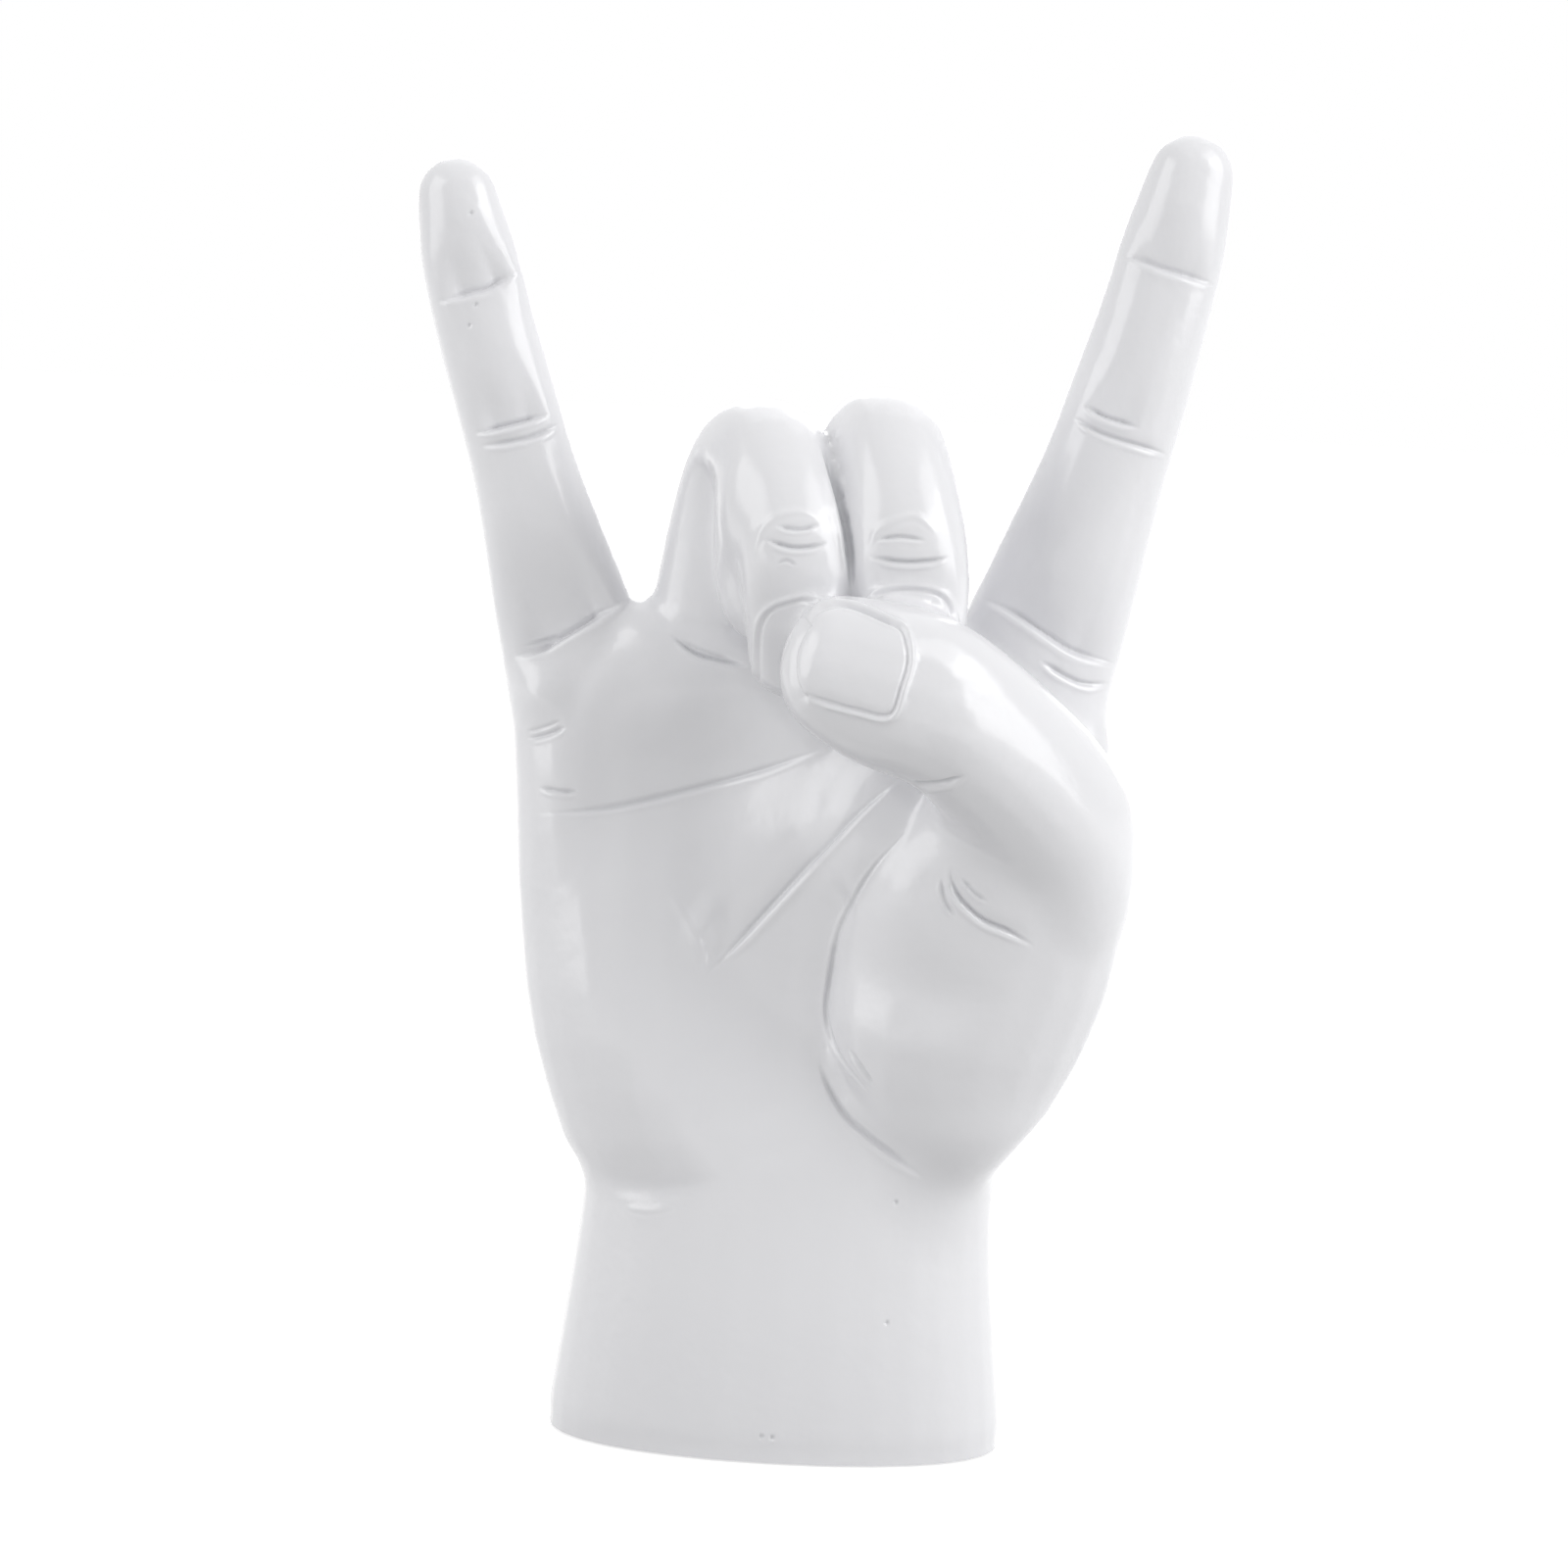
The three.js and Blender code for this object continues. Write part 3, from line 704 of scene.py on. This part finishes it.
# %% Folds of the folded fingers
BENT_FOLDS = {
    "ring root": ((0.45, 0.55, 0.3, 0, 3), [(682, 648), (711, 668), (740, 676), (766, 682)]),
    "ring root above": ((0.3, 0.4), [(692, 651), (720, 664), (752, 674)]),
    "ring joint edge": ((-0.25, 1.1), [(769, 572), (773, 552), (781, 537), (797, 526), (819, 523),
        (838, 532)]),
    "ring joint": ((0.4, 0.5, 0.2, 0, 2), [(790, 538), (815, 541), (837, 536)]),
    "ring joint below": ((0.5, 0.55, 0.25, 0, 2), [(778, 551), (808, 560), (834, 558), (846, 554)]),
    "ring mark": ((0.25, 0.4), [(791, 577), (802, 572), (814, 578)]),
    "ring to middle": ((0.8, 0.9), [(836, 446), (852, 491), (863, 535), (868, 575), (869, 612)]),
    "middle joint edge": ((-0.25, 1.1), [(886, 566), (890, 552), (900, 538), (934, 527), (958, 547)]),
    "middle joint": ((0.4, 0.5, 0.2, 0, 2), [(892, 552), (919, 549), (946, 553)]),
    "middle joint below": ((0.5, 0.55, 0.25, 0, 2), [(885, 569), (919, 575), (948, 574), (972, 569)]),
}
draw_folds(BENT_FOLDS)

# %% Folds of the palm
PALM_FOLDS = {
    "upper line": ((0.3, 0.65, 1.5, 1.1, 17), [(545, 832), (600, 828), (680, 813), (765, 791), (848, 763)]),
    "upper line end": ((0.35, 0.5, 0.2, 0, 2), [(549, 805), (570, 809), (592, 810)]),
    "side fold": ((0.35, 0.5, 0.2, 0, 3), [(536, 756), (559, 751), (580, 742)]),
    "side fold above": ((0.25, 0.4), [(534, 748), (556, 742), (574, 735)]),
    "middle line": ((0.25, 0.8, 0.8, 0, 7), [(716, 1003), (757, 960), (800, 913), (836, 873), (875, 832),
        (924, 792)]),
    "middle line ridge": ((-0.3, 1.3), [(720, 1002), (715, 968), (702, 944), (682, 908)]),
    "thumb line": ((0.25, 0.5), [(932, 842), (895, 881), (872, 917), (856, 952), (847, 996), (843, 1032),
        (850, 1062), (862, 1085), (880, 1107), (898, 1125)]),
    "thumb line low": ((0.25, 0.7, 0.7, 0, 7), [(833, 1078), (844, 1110), (860, 1138), (880, 1158),
        (915, 1186), (945, 1205)]),
    "thumb line side": ((0.3, 0.45), [(865, 1068), (880, 1091), (894, 1111)]),
    "wrist": ((0.1, 3.2, 0.5, 0, 11), [(597, 1200), (640, 1216), (690, 1220), (745, 1208)]),
    "wrist bead": ((-0.15, 1.0), [(636, 1231), (662, 1235), (690, 1232)]),
}
draw_folds(PALM_FOLDS)

# %% Folds of the thumb
THUMB_FOLDS = {
    "thumb nail fold": ((0.4, 0.5), [(841, 616), (867, 619), (900, 632), (924, 645)]),
    "thumb joint": ((0.45, 0.55, 0.3, 0, 3), [(926, 796), (941, 803), (967, 800), (986, 792)]),
    "thumb root": ((0.5, 0.6, 0.3, 0, 3), [(968, 882), (970, 903), (981, 922), (1003, 941), (1028, 952),
        (1056, 968)]),
    "thumb root left": ((0.35, 0.5), [(960, 895), (964, 919), (976, 938)]),
    "thumb root right": ((0.3, 0.45), [(980, 895), (994, 911), (1009, 922)]),
}
draw_folds(THUMB_FOLDS)

# %% Pinholes
PINHOLES = [(481, 217), (478, 332), (485, 311), (914, 1227), (905, 1350), (777, 1466), (788, 1467)]
PINHOLE_SIZE = 5
PINHOLE_DEPTH = 0.3
PINHOLE_WIDTH = 0.45
for x, y in PINHOLES:
    dash = [(x - PINHOLE_SIZE / 2, y), (x, y), (x + PINHOLE_SIZE / 2, y)]
    fold(dash, PINHOLE_DEPTH, PINHOLE_WIDTH, lip=0)
print("pinholes:", len(PINHOLES))

# %% Folds and tendons on the back
FINGER_BACKS = {
    # node: (leans of the last and the middle joint in degrees, distances of both from the tip in mm)
    "index_finger": (10.6, 13.6, 21.5, 45.5),
    "little_finger": (-13.8, -18.0, 20.0, 42.0),
}
# Knuckles are places in mm, and a tendon's run is its share of x and its drop in z from the knuckle.
KNUCKLES = [(36, 113), (4, 118), (-17, 116), (-36, 110)]
WRINKLES = (-2.6, -0.6, 1.4, 3.2)
NEAR_WRINKLE = dict(half=3.6, arch=0.4, depth=0.22, width=0.5)
FAR_WRINKLE = dict(half=4.6, arch=0.8, depth=0.3, width=0.55)
TENDON_RUN = [(1.0, 10), (0.8, 36), (0.62, 62)]
TENDON_HEIGHT = 0.55
TENDON_WIDTH = 2.4
TIP_SLICE = 0.8


def leaning(degrees):
    """The direction along a finger on the back board that leans by some degrees."""
    return np.array((math.sin(math.radians(degrees)), math.cos(math.radians(degrees))))


def tip_of(node, lean):
    """The tip of a raised finger on the back board, with the directions across and along its end."""
    along = leaning(lean)
    corners = back_board(read(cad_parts[node].data.vertices, "co", 3))
    reach = corners @ along
    tip = corners[reach > reach.max() - TIP_SLICE].mean(axis=0)
    return tip, np.array((along[1], -along[0])), along


def wrinkle(middle, across, along, half, arch, depth, width):
    """A short fold across the back of a finger, arched against the direction along it."""
    back_fold([middle - half * across, middle - arch * along, middle + half * across], depth, width)


for node, (lean, middle_lean, near_joint, far_joint) in FINGER_BACKS.items():
    tip, across, along = tip_of(node, lean)
    for step in WRINKLES[1:]:
        wrinkle(tip - along * (near_joint + step), across, along, **NEAR_WRINKLE)
    bend = tip - along * near_joint
    for step in WRINKLES:
        middle = bend - leaning(middle_lean) * (far_joint - near_joint + step)
        wrinkle(middle, across, along * np.sign(step), **FAR_WRINKLE)
for x, z in KNUCKLES:
    back_fold([(x * share, z - drop) for share, drop in TENDON_RUN], -TENDON_HEIGHT, TENDON_WIDTH, lip=0)
print("folds:", len(folds), "with the back")

# %% [markdown]
# ## Score the folds
#
# A fold is finer than the skin's quads, so the quads along the folds are subdivided first. Then each point
# near a fold gets an amount by its distance to the line, and displace modifiers use the amounts as weights:
# one presses the grooves in and one lifts their lips. Subdividing all of the skin would cost nine times the
# faces. Nails are made in the same way, from lines round their sides and along their free edges.

# %% Refine along the folds
REFINE_REACH = 1.8
FRESH_PASSES = 8
FINE_WIDTH = 1.0
GRAZING = -0.1


def near_line(flat, line, reach):
    """The points whose flat places are inside the box of a line, widened by reach."""
    low, high = line.min(axis=0) - reach, line.max(axis=0) + reach
    return np.flatnonzero(((flat > low) & (flat < high)).all(axis=1))


def face_corners(mesh):
    """Where each face's corners start, and the point at every corner."""
    return read(mesh.polygons, "loop_start", kind=int), read(mesh.loops, "vertex_index", kind=int)


def refine(lines, cuts):
    """Subdivides the quads close to the given lines, as (board, line, casting or None) triples."""
    places, normals = skin_points()
    owner = nearest_casting(places)
    close = np.zeros(len(places), bool)
    flats = {board: flatten(places) for board, (flatten, _) in boards.items()}
    fronts = {board: facing(board, places, normals) > GRAZING for board in boards}
    for board, line, on in lines:
        picks = near_line(flats[board], line, REFINE_REACH)
        distance, _ = to_line(flats[board][picks], line)
        wanted = (abs(distance) < REFINE_REACH) & fronts[board][picks]
        if on:
            wanted &= owner[picks] == CASTINGS.index(on)
        close[picks[wanted]] = True
    starts, corners = face_corners(skin.data)
    chosen = np.logical_and.reduceat(close[corners], starts)
    skin.data.polygons.foreach_set("select", chosen)
    with editing(skin, whole=False):
        bpy.ops.mesh.select_mode(type="FACE")
        bpy.ops.mesh.subdivide(number_cuts=cuts, smoothness=0)
    rub(read(skin.data.vertices, "select", kind=bool).astype(float), FRESH_PASSES)
    print("skin:", int(chosen.sum()), "quads refined,", len(skin.data.polygons), "faces now")

# %% Nails
Nail = collections.namedtuple("Nail", "board sides free line on depth reach", defaults=(EDGE_REACH,))
PHOTO_NAILS = {
    # node: (share of the usual depth, points of the free edge between the ends of the sides, sides)
    "thumb": (1.0, [(814, 690), (815, 664)], [(826, 640), (839, 622), (867, 620), (900, 633), (920, 644),
        (926, 672), (919, 700), (907, 729), (875, 724), (845, 716), (821, 708)]),
    "ring_finger": (0.7, [(808, 708)], [(775, 703), (775, 661), (778, 637), (788, 623), (806, 616),
        (824, 613), (838, 622), (844, 650), (842, 700)]),
    "middle_finger": (0.7, [(928, 698)], [(890, 690), (888, 640), (891, 614), (904, 605), (927, 602),
        (951, 605), (966, 616), (971, 645), (968, 690)]),
}
BACK_NAILS = {
    # node: (width, length, distance of the free edge from the tip), in mm
    "index_finger": (9.6, 11.5, 2.6),
    "little_finger": (8.4, 10.0, 2.4),
}
NAIL_OVAL = [(-0.5, 0), (-0.5, 0.6), (-0.38, 0.92), (0, 1.0), (0.38, 0.92), (0.5, 0.6), (0.5, 0)]
NAIL_BOW = 0.9
nails = []


def draw_nail(board, sides, edge, node, depth):
    """A nail from points round its sides and along its free edge, in mm."""
    free = rounded([sides[-1], *edge, sides[0]])
    sides = rounded(sides)
    nails.append(Nail(board, sides, free, np.vstack([sides, free]), node, depth))


for node, (depth, edge, sides) in PHOTO_NAILS.items():
    draw_nail("photo", photo_line(sides), photo_line(edge), node, depth)
for node, (width, length, inset) in BACK_NAILS.items():
    tip, across, along = tip_of(node, FINGER_BACKS[node][0])
    edge = tip - along * inset
    sides = [edge + across * u * width - along * v * length for u, v in NAIL_OVAL]
    draw_nail("back", sides, [edge + along * NAIL_BOW], node, 1.0)
print("nails:", ", ".join(nail.on for nail in nails))

fine_lines = [(drawn.board, drawn.line, drawn.on) for drawn in folds if drawn.width < FINE_WIDTH]
for nail in nails:
    fine_lines += [(nail.board, nail.sides, nail.on), (nail.board, nail.free, nail.on)]
refine(fine_lines, cuts=2)

# %% How a fold moves the skin
END_TAPER = 0.28
STEP = 0.75
MID_FOLD = 0.5


def hump(offset, width):
    """1 at an offset of 0, falling smoothly to almost 0 at twice the width."""
    return np.exp(-((offset / width) ** 2))


def fold_amounts(drawn, distance, along):
    """How far a fold moves points at a distance from its line: its groove, and its roll with its lip."""
    taper = ramp(np.minimum(along, 1 - along), 0, END_TAPER)
    width = drawn.width * (MID_FOLD + (1 - MID_FOLD) * taper)
    step = STEP * drawn.width
    middle = step * (drawn.roll > 0)
    groove = -drawn.depth * taper * hump(distance - middle, width)
    above = ramp(distance, -step, step)
    slope = np.clip(1 - abs(distance) / drawn.reach, 0, 1) ** 2
    roll = -taper * slope * (drawn.roll * above + drawn.below * (1 - above))
    lip = abs(drawn.depth) * drawn.lip * taper * hump(distance + 2 * width, width)
    return groove, roll + lip


# %% How a nail moves the skin
NAIL_END = 0.1
NAIL_GROOVE = 0.26
NAIL_GROOVE_WIDTH = 0.3
NAIL_END_GROOVE = 0.4
NAIL_WALL = 0.44
NAIL_WALL_WIDTH = 0.42
NAIL_WALL_PLACE = 0.75
NAIL_PLATE = 0.15
NAIL_PLATE_EDGE = 0.5
NAIL_TIP_DROP = 0.5
NAIL_DROP_START = 0.35
NAIL_DROP_REACH = 2.2
NAIL_DROP_OVERLAP = 0.3


def inside(points, outline):
    """Whether flat points lie inside a closed outline."""
    result = np.zeros(len(points), bool)
    for (x0, y0), (x1, y1) in zip(outline, np.roll(outline, -1, axis=0)):
        if y0 != y1:
            crosses = (y0 > points[:, 1]) != (y1 > points[:, 1])
            result ^= crosses & (points[:, 0] < x0 + (points[:, 1] - y0) / (y1 - y0) * (x1 - x0))
    return result


def nail_amounts(nail, flat):
    """How far a nail moves points: the groove round its sides, and its wall, plate and the flesh beyond."""
    plate = inside(flat, nail.line)
    to_sides, along = to_line(flat, nail.sides)
    to_edge, _ = to_line(flat, nail.free)
    to_sides, to_edge = abs(to_sides), abs(to_edge)
    ends = ramp(np.minimum(along, 1 - along), 0, NAIL_END)
    depth = NAIL_GROOVE * (NAIL_END_GROOVE + (1 - NAIL_END_GROOVE) * ends)
    groove = -depth * hump(to_sides, NAIL_GROOVE_WIDTH)
    wall = NAIL_WALL * ends * hump(to_sides - NAIL_WALL_PLACE, NAIL_WALL_WIDTH) * ~plate
    rise = NAIL_PLATE * plate * ramp(np.minimum(to_sides, to_edge), 0, NAIL_PLATE_EDGE)
    beyond = falloff(to_edge / NAIL_DROP_REACH) * ramp(to_edge, 0, NAIL_DROP_START)
    drop = -NAIL_TIP_DROP * ~plate * beyond * (to_edge < to_sides + NAIL_DROP_OVERLAP)
    return nail.depth * groove, nail.depth * (wall + rise + drop)


# %% Press folds and nails in
FACING_FULL = 0.3
# Shade is painted into the nail outlines and the folds: the deeper a groove, the darker its colour.
PAINTED_SHADE_IN_NAILS = 0.3
PAINTED_SHADE_IN_FOLDS = 1.4

places, normals = skin_points()
casting = nearest_casting(places)
groove, swell, painted_shade = np.zeros((3, len(places)))
for board, (flatten, _) in boards.items():
    flat = flatten(places)
    face = facing(board, places, normals)
    here = [made for made in folds + nails if made.board == board]
    work = [(near_line(flat, made.line, max(made.reach, EDGE_REACH)), made) for made in here]
    near = np.zeros(len(places), bool)
    for picks, _ in work:
        near[picks] = True
    fade = ramp(face, 0, FACING_FULL)
    clear = sight(board, places, normals, np.flatnonzero(near & (face > 0)))
    for picks, made in work:
        if isinstance(made, Nail):
            cut, rest = nail_amounts(made, flat[picks])
            allowed = fade[picks]
            shade = PAINTED_SHADE_IN_NAILS
        else:
            cut, rest = fold_amounts(made, *to_line(flat[picks], made.line))
            allowed = fade[picks] * clear[picks]
            shade = PAINTED_SHADE_IN_FOLDS
        if made.on:
            allowed = allowed * (casting[picks] == CASTINGS.index(made.on))
        deeper = abs(cut * allowed) > abs(groove[picks])
        groove[picks] = np.where(deeper, cut * allowed, groove[picks])
        swell[picks] += rest * allowed
        # painted shade: the colour darkens with the depth of the groove
        painted_shade[picks] -= shade * np.minimum(cut, 0) * allowed
press(groove + swell)
pressed = int((groove < -LEAST_CHANGE).sum())
print("folds: deepest", round(-groove.min(), 2), "mm,", pressed, "points pressed in")
# the painted shade of the folds is kept on the points as an attribute
painted_fold_shade = skin.data.attributes.new("painted_fold_shade", "FLOAT", "POINT")
painted_fold_shade.data.foreach_set("value", np.clip(painted_shade, 0, 1))
only(skin)
bpy.ops.object.shade_smooth()

# %% [markdown]
# ## Six castings again
#
# The paint hides the joints, but the hand is still six castings, and each of them stands for its own node.
# So the finished skin is cut along the joint lines: every face goes with the casting that it lies on. Each
# cut is closed with a cap, and the pieces keep the normals of the whole skin, so no joint shows in the gloss.

# %% Sort the faces by casting
SEAM_SMOOTHING = 14

votes = [spread((casting == number).astype(float), SEAM_SMOOTHING) for number in range(len(CASTINGS))]
votes = np.stack(votes, axis=1)
for node in CASTINGS:
    skin.data.materials.append(bpy.data.materials.new(f"sort_{node}"))
starts, corners = face_corners(skin.data)
sides = np.add.reduceat(votes[corners], starts).argmax(axis=1)
skin.data.polygons.foreach_set("material_index", sides)
places, normals = skin_points()
kept = skin.data.attributes.new("skin_normal", "FLOAT_VECTOR", "POINT")
kept.data.foreach_set("vector", normals.ravel())
print("skin:", {node: int((sides == number).sum()) for number, node in enumerate(CASTINGS)})

# %% Cut the skin apart
with editing(skin):
    bpy.ops.mesh.separate(type="MATERIAL")
pieces = {}
for piece in list(bpy.context.selected_objects):
    node = piece.data.materials[0].name.removeprefix("sort_")
    piece.name = f"{node}_skin"
    piece.data.name = piece.name
    piece.data.materials.clear()
    pieces[node] = piece
for node in CASTINGS:
    bpy.data.materials.remove(bpy.data.materials[f"sort_{node}"])
print("pieces:", ", ".join(sorted(piece.name for piece in pieces.values())))

# %% [markdown]
# ## The foot
#
# The wrist is a hollow casting: a plug closes it from below against a ledge, and a felt pad covers both. In
# the photograph the wrist meets the table in a fine line, so the pad must lie in a shallow recess. The skin
# is cut level just above the table. Its floor is extruded, scaled to the pad's size and extruded upwards, and
# the same again for the plug and the ballast. A boolean could do it, but leaves untidy faces.

# %% Hollow the wrist
TABLE_GAP = 0.3 * MM
FIT = 0.3 * MM
SUNK_NODES = ("base_pad", "base_plug", "ballast")
DOWNWARD = -0.99
LEVEL_SLACK = 0.02 * MM


def pick_floor(mesh, level):
    """Selects only the faces that lie flat at a level and look down, and gives their corners."""
    for kind in (mesh.vertices, mesh.edges, mesh.polygons):
        kind.foreach_set("select", [False] * len(kind))
    corners = []
    for face in mesh.polygons:
        if face.normal.z < DOWNWARD and abs(face.center.z - level) < LEVEL_SLACK:
            face.select = True
            corners += face.vertices
    return np.array([mesh.vertices[corner].co for corner in corners])


palm = pieces["palm"]
foot_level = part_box("base_pad")[0][2] + TABLE_GAP
with editing(palm):
    bpy.ops.mesh.select_mode(type="FACE")
    bpy.ops.mesh.bisect(plane_co=(0, 0, foot_level), plane_no=(0, 0, 1), use_fill=True, clear_inner=True,
                        threshold=MERGE_DISTANCE)
rim = pick_floor(palm.data, foot_level)
rim_low, rim_high = rim.min(axis=0), rim.max(axis=0)
middle = Vector((rim_low + rim_high) / 2)
outer = rim_high - rim_low
print("foot: rim", [round(v / MM, 1) for v in outer], "mm")
with editing(palm, whole=False):
    for node in SUNK_NODES:
        low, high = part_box(node)
        inner = np.array(high - low) + 2 * FIT
        rise = high[2] + FIT - middle.z
        bpy.ops.mesh.extrude_region_move()
        bpy.ops.transform.resize(value=(inner[0] / outer[0], inner[1] / outer[1], 1), center_override=middle)
        bpy.ops.mesh.extrude_region_move(TRANSFORM_OT_translate={"value": (0, 0, rise)})
        middle.z += rise
        outer = inner
print("foot: hollow to", round(middle.z / MM, 1), "mm")

# %% Close the cuts and keep the shading
OWN_ANGLE = math.cos(math.radians(50))
CUT_DEPTH = 1.2 * MM


def close_cuts(piece):
    """Turns every open edge of a piece inwards and closes it there with a cap."""
    with editing(piece, whole=False):
        bpy.ops.mesh.select_mode(type="EDGE")
        bpy.ops.mesh.select_all(action="DESELECT")
        bpy.ops.mesh.select_non_manifold(use_wire=False, use_multi_face=False, use_non_contiguous=False,
                                         use_verts=False)
        bpy.ops.mesh.extrude_region_move()
    outward = piece.data.attributes["skin_normal"].data
    for vertex in piece.data.vertices:
        if vertex.select:
            vertex.co -= CUT_DEPTH * Vector(outward[vertex.index].vector)
    with editing(piece, whole=False):
        bpy.ops.mesh.fill_holes(sides=0)


def keep_shading(piece):
    """Gives a piece the normals of the whole skin, except on caps and in the foot, which shade flat."""
    mesh = piece.data
    starts, corners = face_corners(mesh)
    sizes = np.diff(np.append(starts, len(corners)))
    whole = read(mesh.attributes["skin_normal"].data, "vector", 3)[corners]
    own = np.repeat(read(mesh.polygons, "normal", 3), sizes, axis=0)
    agrees = np.einsum("ij,ij->i", whole, own) > OWN_ANGLE * np.linalg.norm(whole, axis=1)
    mesh.normals_split_custom_set(np.where(agrees[:, None], whole, own).tolist())
    mesh.attributes.remove(mesh.attributes["skin_normal"])


for node, piece in pieces.items():
    close_cuts(piece)
    keep_shading(piece)
    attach(piece, "root")
    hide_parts(node)
    print(piece.name, sum(len(polygon.vertices) - 2 for polygon in piece.data.polygons), "triangles")

# %% [markdown]
# ## Gloss white paint
#
# The paint is sprayed: white with a cool cast, glossy and slightly uneven like orange peel. Shade is painted
# into the folds, the pinholes and round the nails: their colour is darker there. The painted shade comes from
# the amounts that pressed them, kept on the points as an attribute, and the rest of the colour from noise.

# %% Paint
def pattern(tree, scale, detail=2.0, stretch=(1, 1, 1)):
    """A noise pattern in object space: features per metre, and a stretch along each axis."""
    place = shader_node(tree, "TexCoord").outputs["Object"]
    stretched = shader_node(tree, "Mapping", {"Scale": stretch}, {"Vector": place}).outputs["Vector"]
    noise = shader_node(tree, "TexNoise", {"Scale": scale, "Detail": detail}, {"Vector": stretched})
    return noise.outputs["Fac"]


def blend_colours(tree, share, first, second):
    """A colour between two colours; each of them is a tuple or an output."""
    mix = shader_node(tree, "Mix", None, {"Factor": share}, data_type="RGBA")
    targets = [entry for entry in mix.inputs if entry.type == "RGBA"]
    for target, colour in zip(targets, (first, second)):
        if isinstance(colour, tuple):
            target.default_value = (*colour, 1)
        else:
            tree.links.new(colour, target)
    return next(entry for entry in mix.outputs if entry.type == "RGBA")


def noise_material(name, grain, colours, rough, bump, rough_grain=None, bump_grain=None, metallic=0.0,
                   specular=0.5):
    """A material with two colours, a range of roughness and a bump in metres, from one grain or three."""
    material = bpy.data.materials.new(name)
    material.use_nodes = True
    tree = material.node_tree
    inputs = tree.nodes["Principled BSDF"].inputs
    inputs["Metallic"].default_value = metallic
    inputs["Specular IOR Level"].default_value = specular
    main = pattern(tree, **grain)
    rough_from = pattern(tree, **rough_grain) if rough_grain else main
    bump_from = pattern(tree, **bump_grain) if bump_grain else main
    span = shader_node(tree, "MapRange", {"To Min": rough[0], "To Max": rough[1]}, {"Value": rough_from})
    relief = shader_node(tree, "Bump", {"Strength": 1.0, "Distance": bump}, {"Height": bump_from})
    tree.links.new(blend_colours(tree, main, *colours), inputs["Base Color"])
    tree.links.new(span.outputs[0], inputs["Roughness"])
    tree.links.new(relief.outputs["Normal"], inputs["Normal"])
    return material


PAINT = dict(
    grain=dict(scale=38), colours=((0.83, 0.83, 0.85), (0.8, 0.8, 0.822)), rough=(0.16, 0.23), bump=0.00006,
    rough_grain=dict(scale=90), bump_grain=dict(scale=420, detail=1.0), specular=0.8,
)
# the colour of the shade painted into folds, pinholes and nail outlines
PAINTED_SHADE_COLOUR = (0.6, 0.605, 0.63)

paint = noise_material("white_gloss_paint", **PAINT)
tree = paint.node_tree
colour_input = tree.nodes["Principled BSDF"].inputs["Base Color"]
# the paint turns towards the painted shade colour where the folds were pressed
painted_shade_share = shader_node(tree, "Attribute", attribute_name="painted_fold_shade").outputs["Fac"]
colour_with_painted_shade = blend_colours(tree, painted_shade_share, colour_input.links[0].from_socket, PAINTED_SHADE_COLOUR)
tree.links.new(colour_with_painted_shade, colour_input)
for piece in pieces.values():
    piece.data.materials.append(paint)
print("paint: on", len(pieces), "pieces")

# %% [markdown]
# ## The parts inside and below
#
# The rods are drawn steel with fine lines along them, the plug is bare cast resin with flow marks, the
# ballast is a rough mortar with sand in it, and the pad is felt. They keep their CAD shapes, which are right
# as they are, and get materials only.

# %% Steel, resin, mortar and felt
FINISHES = {
    # material: (nodes, look)
    "drawn_steel": (RODS, dict(
        grain=dict(scale=900, stretch=(1, 1, 0.03)), colours=((0.5, 0.51, 0.52), (0.6, 0.61, 0.62)),
        rough=(0.25, 0.42), bump=0.00004, metallic=1.0)),
    "bare_resin": (["base_plug"], dict(
        grain=dict(scale=60, detail=4, stretch=(1, 0.4, 1)), colours=((0.75, 0.74, 0.7), (0.68, 0.67, 0.64)),
        rough=(0.45, 0.6), bump=0.0001, bump_grain=dict(scale=500), specular=0.4)),
    "sand_mortar": (["ballast"], dict(
        grain=dict(scale=700, detail=6), colours=((0.42, 0.41, 0.385), (0.66, 0.65, 0.62)),
        rough=(0.8, 0.95), bump=0.0005, specular=0.2)),
    "pressed_felt": (["base_pad"], dict(
        grain=dict(scale=1500, detail=5, stretch=(1, 0.35, 1)),
        colours=((0.74, 0.74, 0.73), (0.88, 0.88, 0.87)),
        rough=(0.85, 0.98), rough_grain=dict(scale=120, detail=3), bump=0.0003, specular=0.15)),
}
for name, (nodes, look) in FINISHES.items():
    material = noise_material(name, **look)
    for node in nodes:
        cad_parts[node].material_slots[0].material = material
    print("materials:", name, "on", ", ".join(nodes))

# %% Finish
low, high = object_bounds()
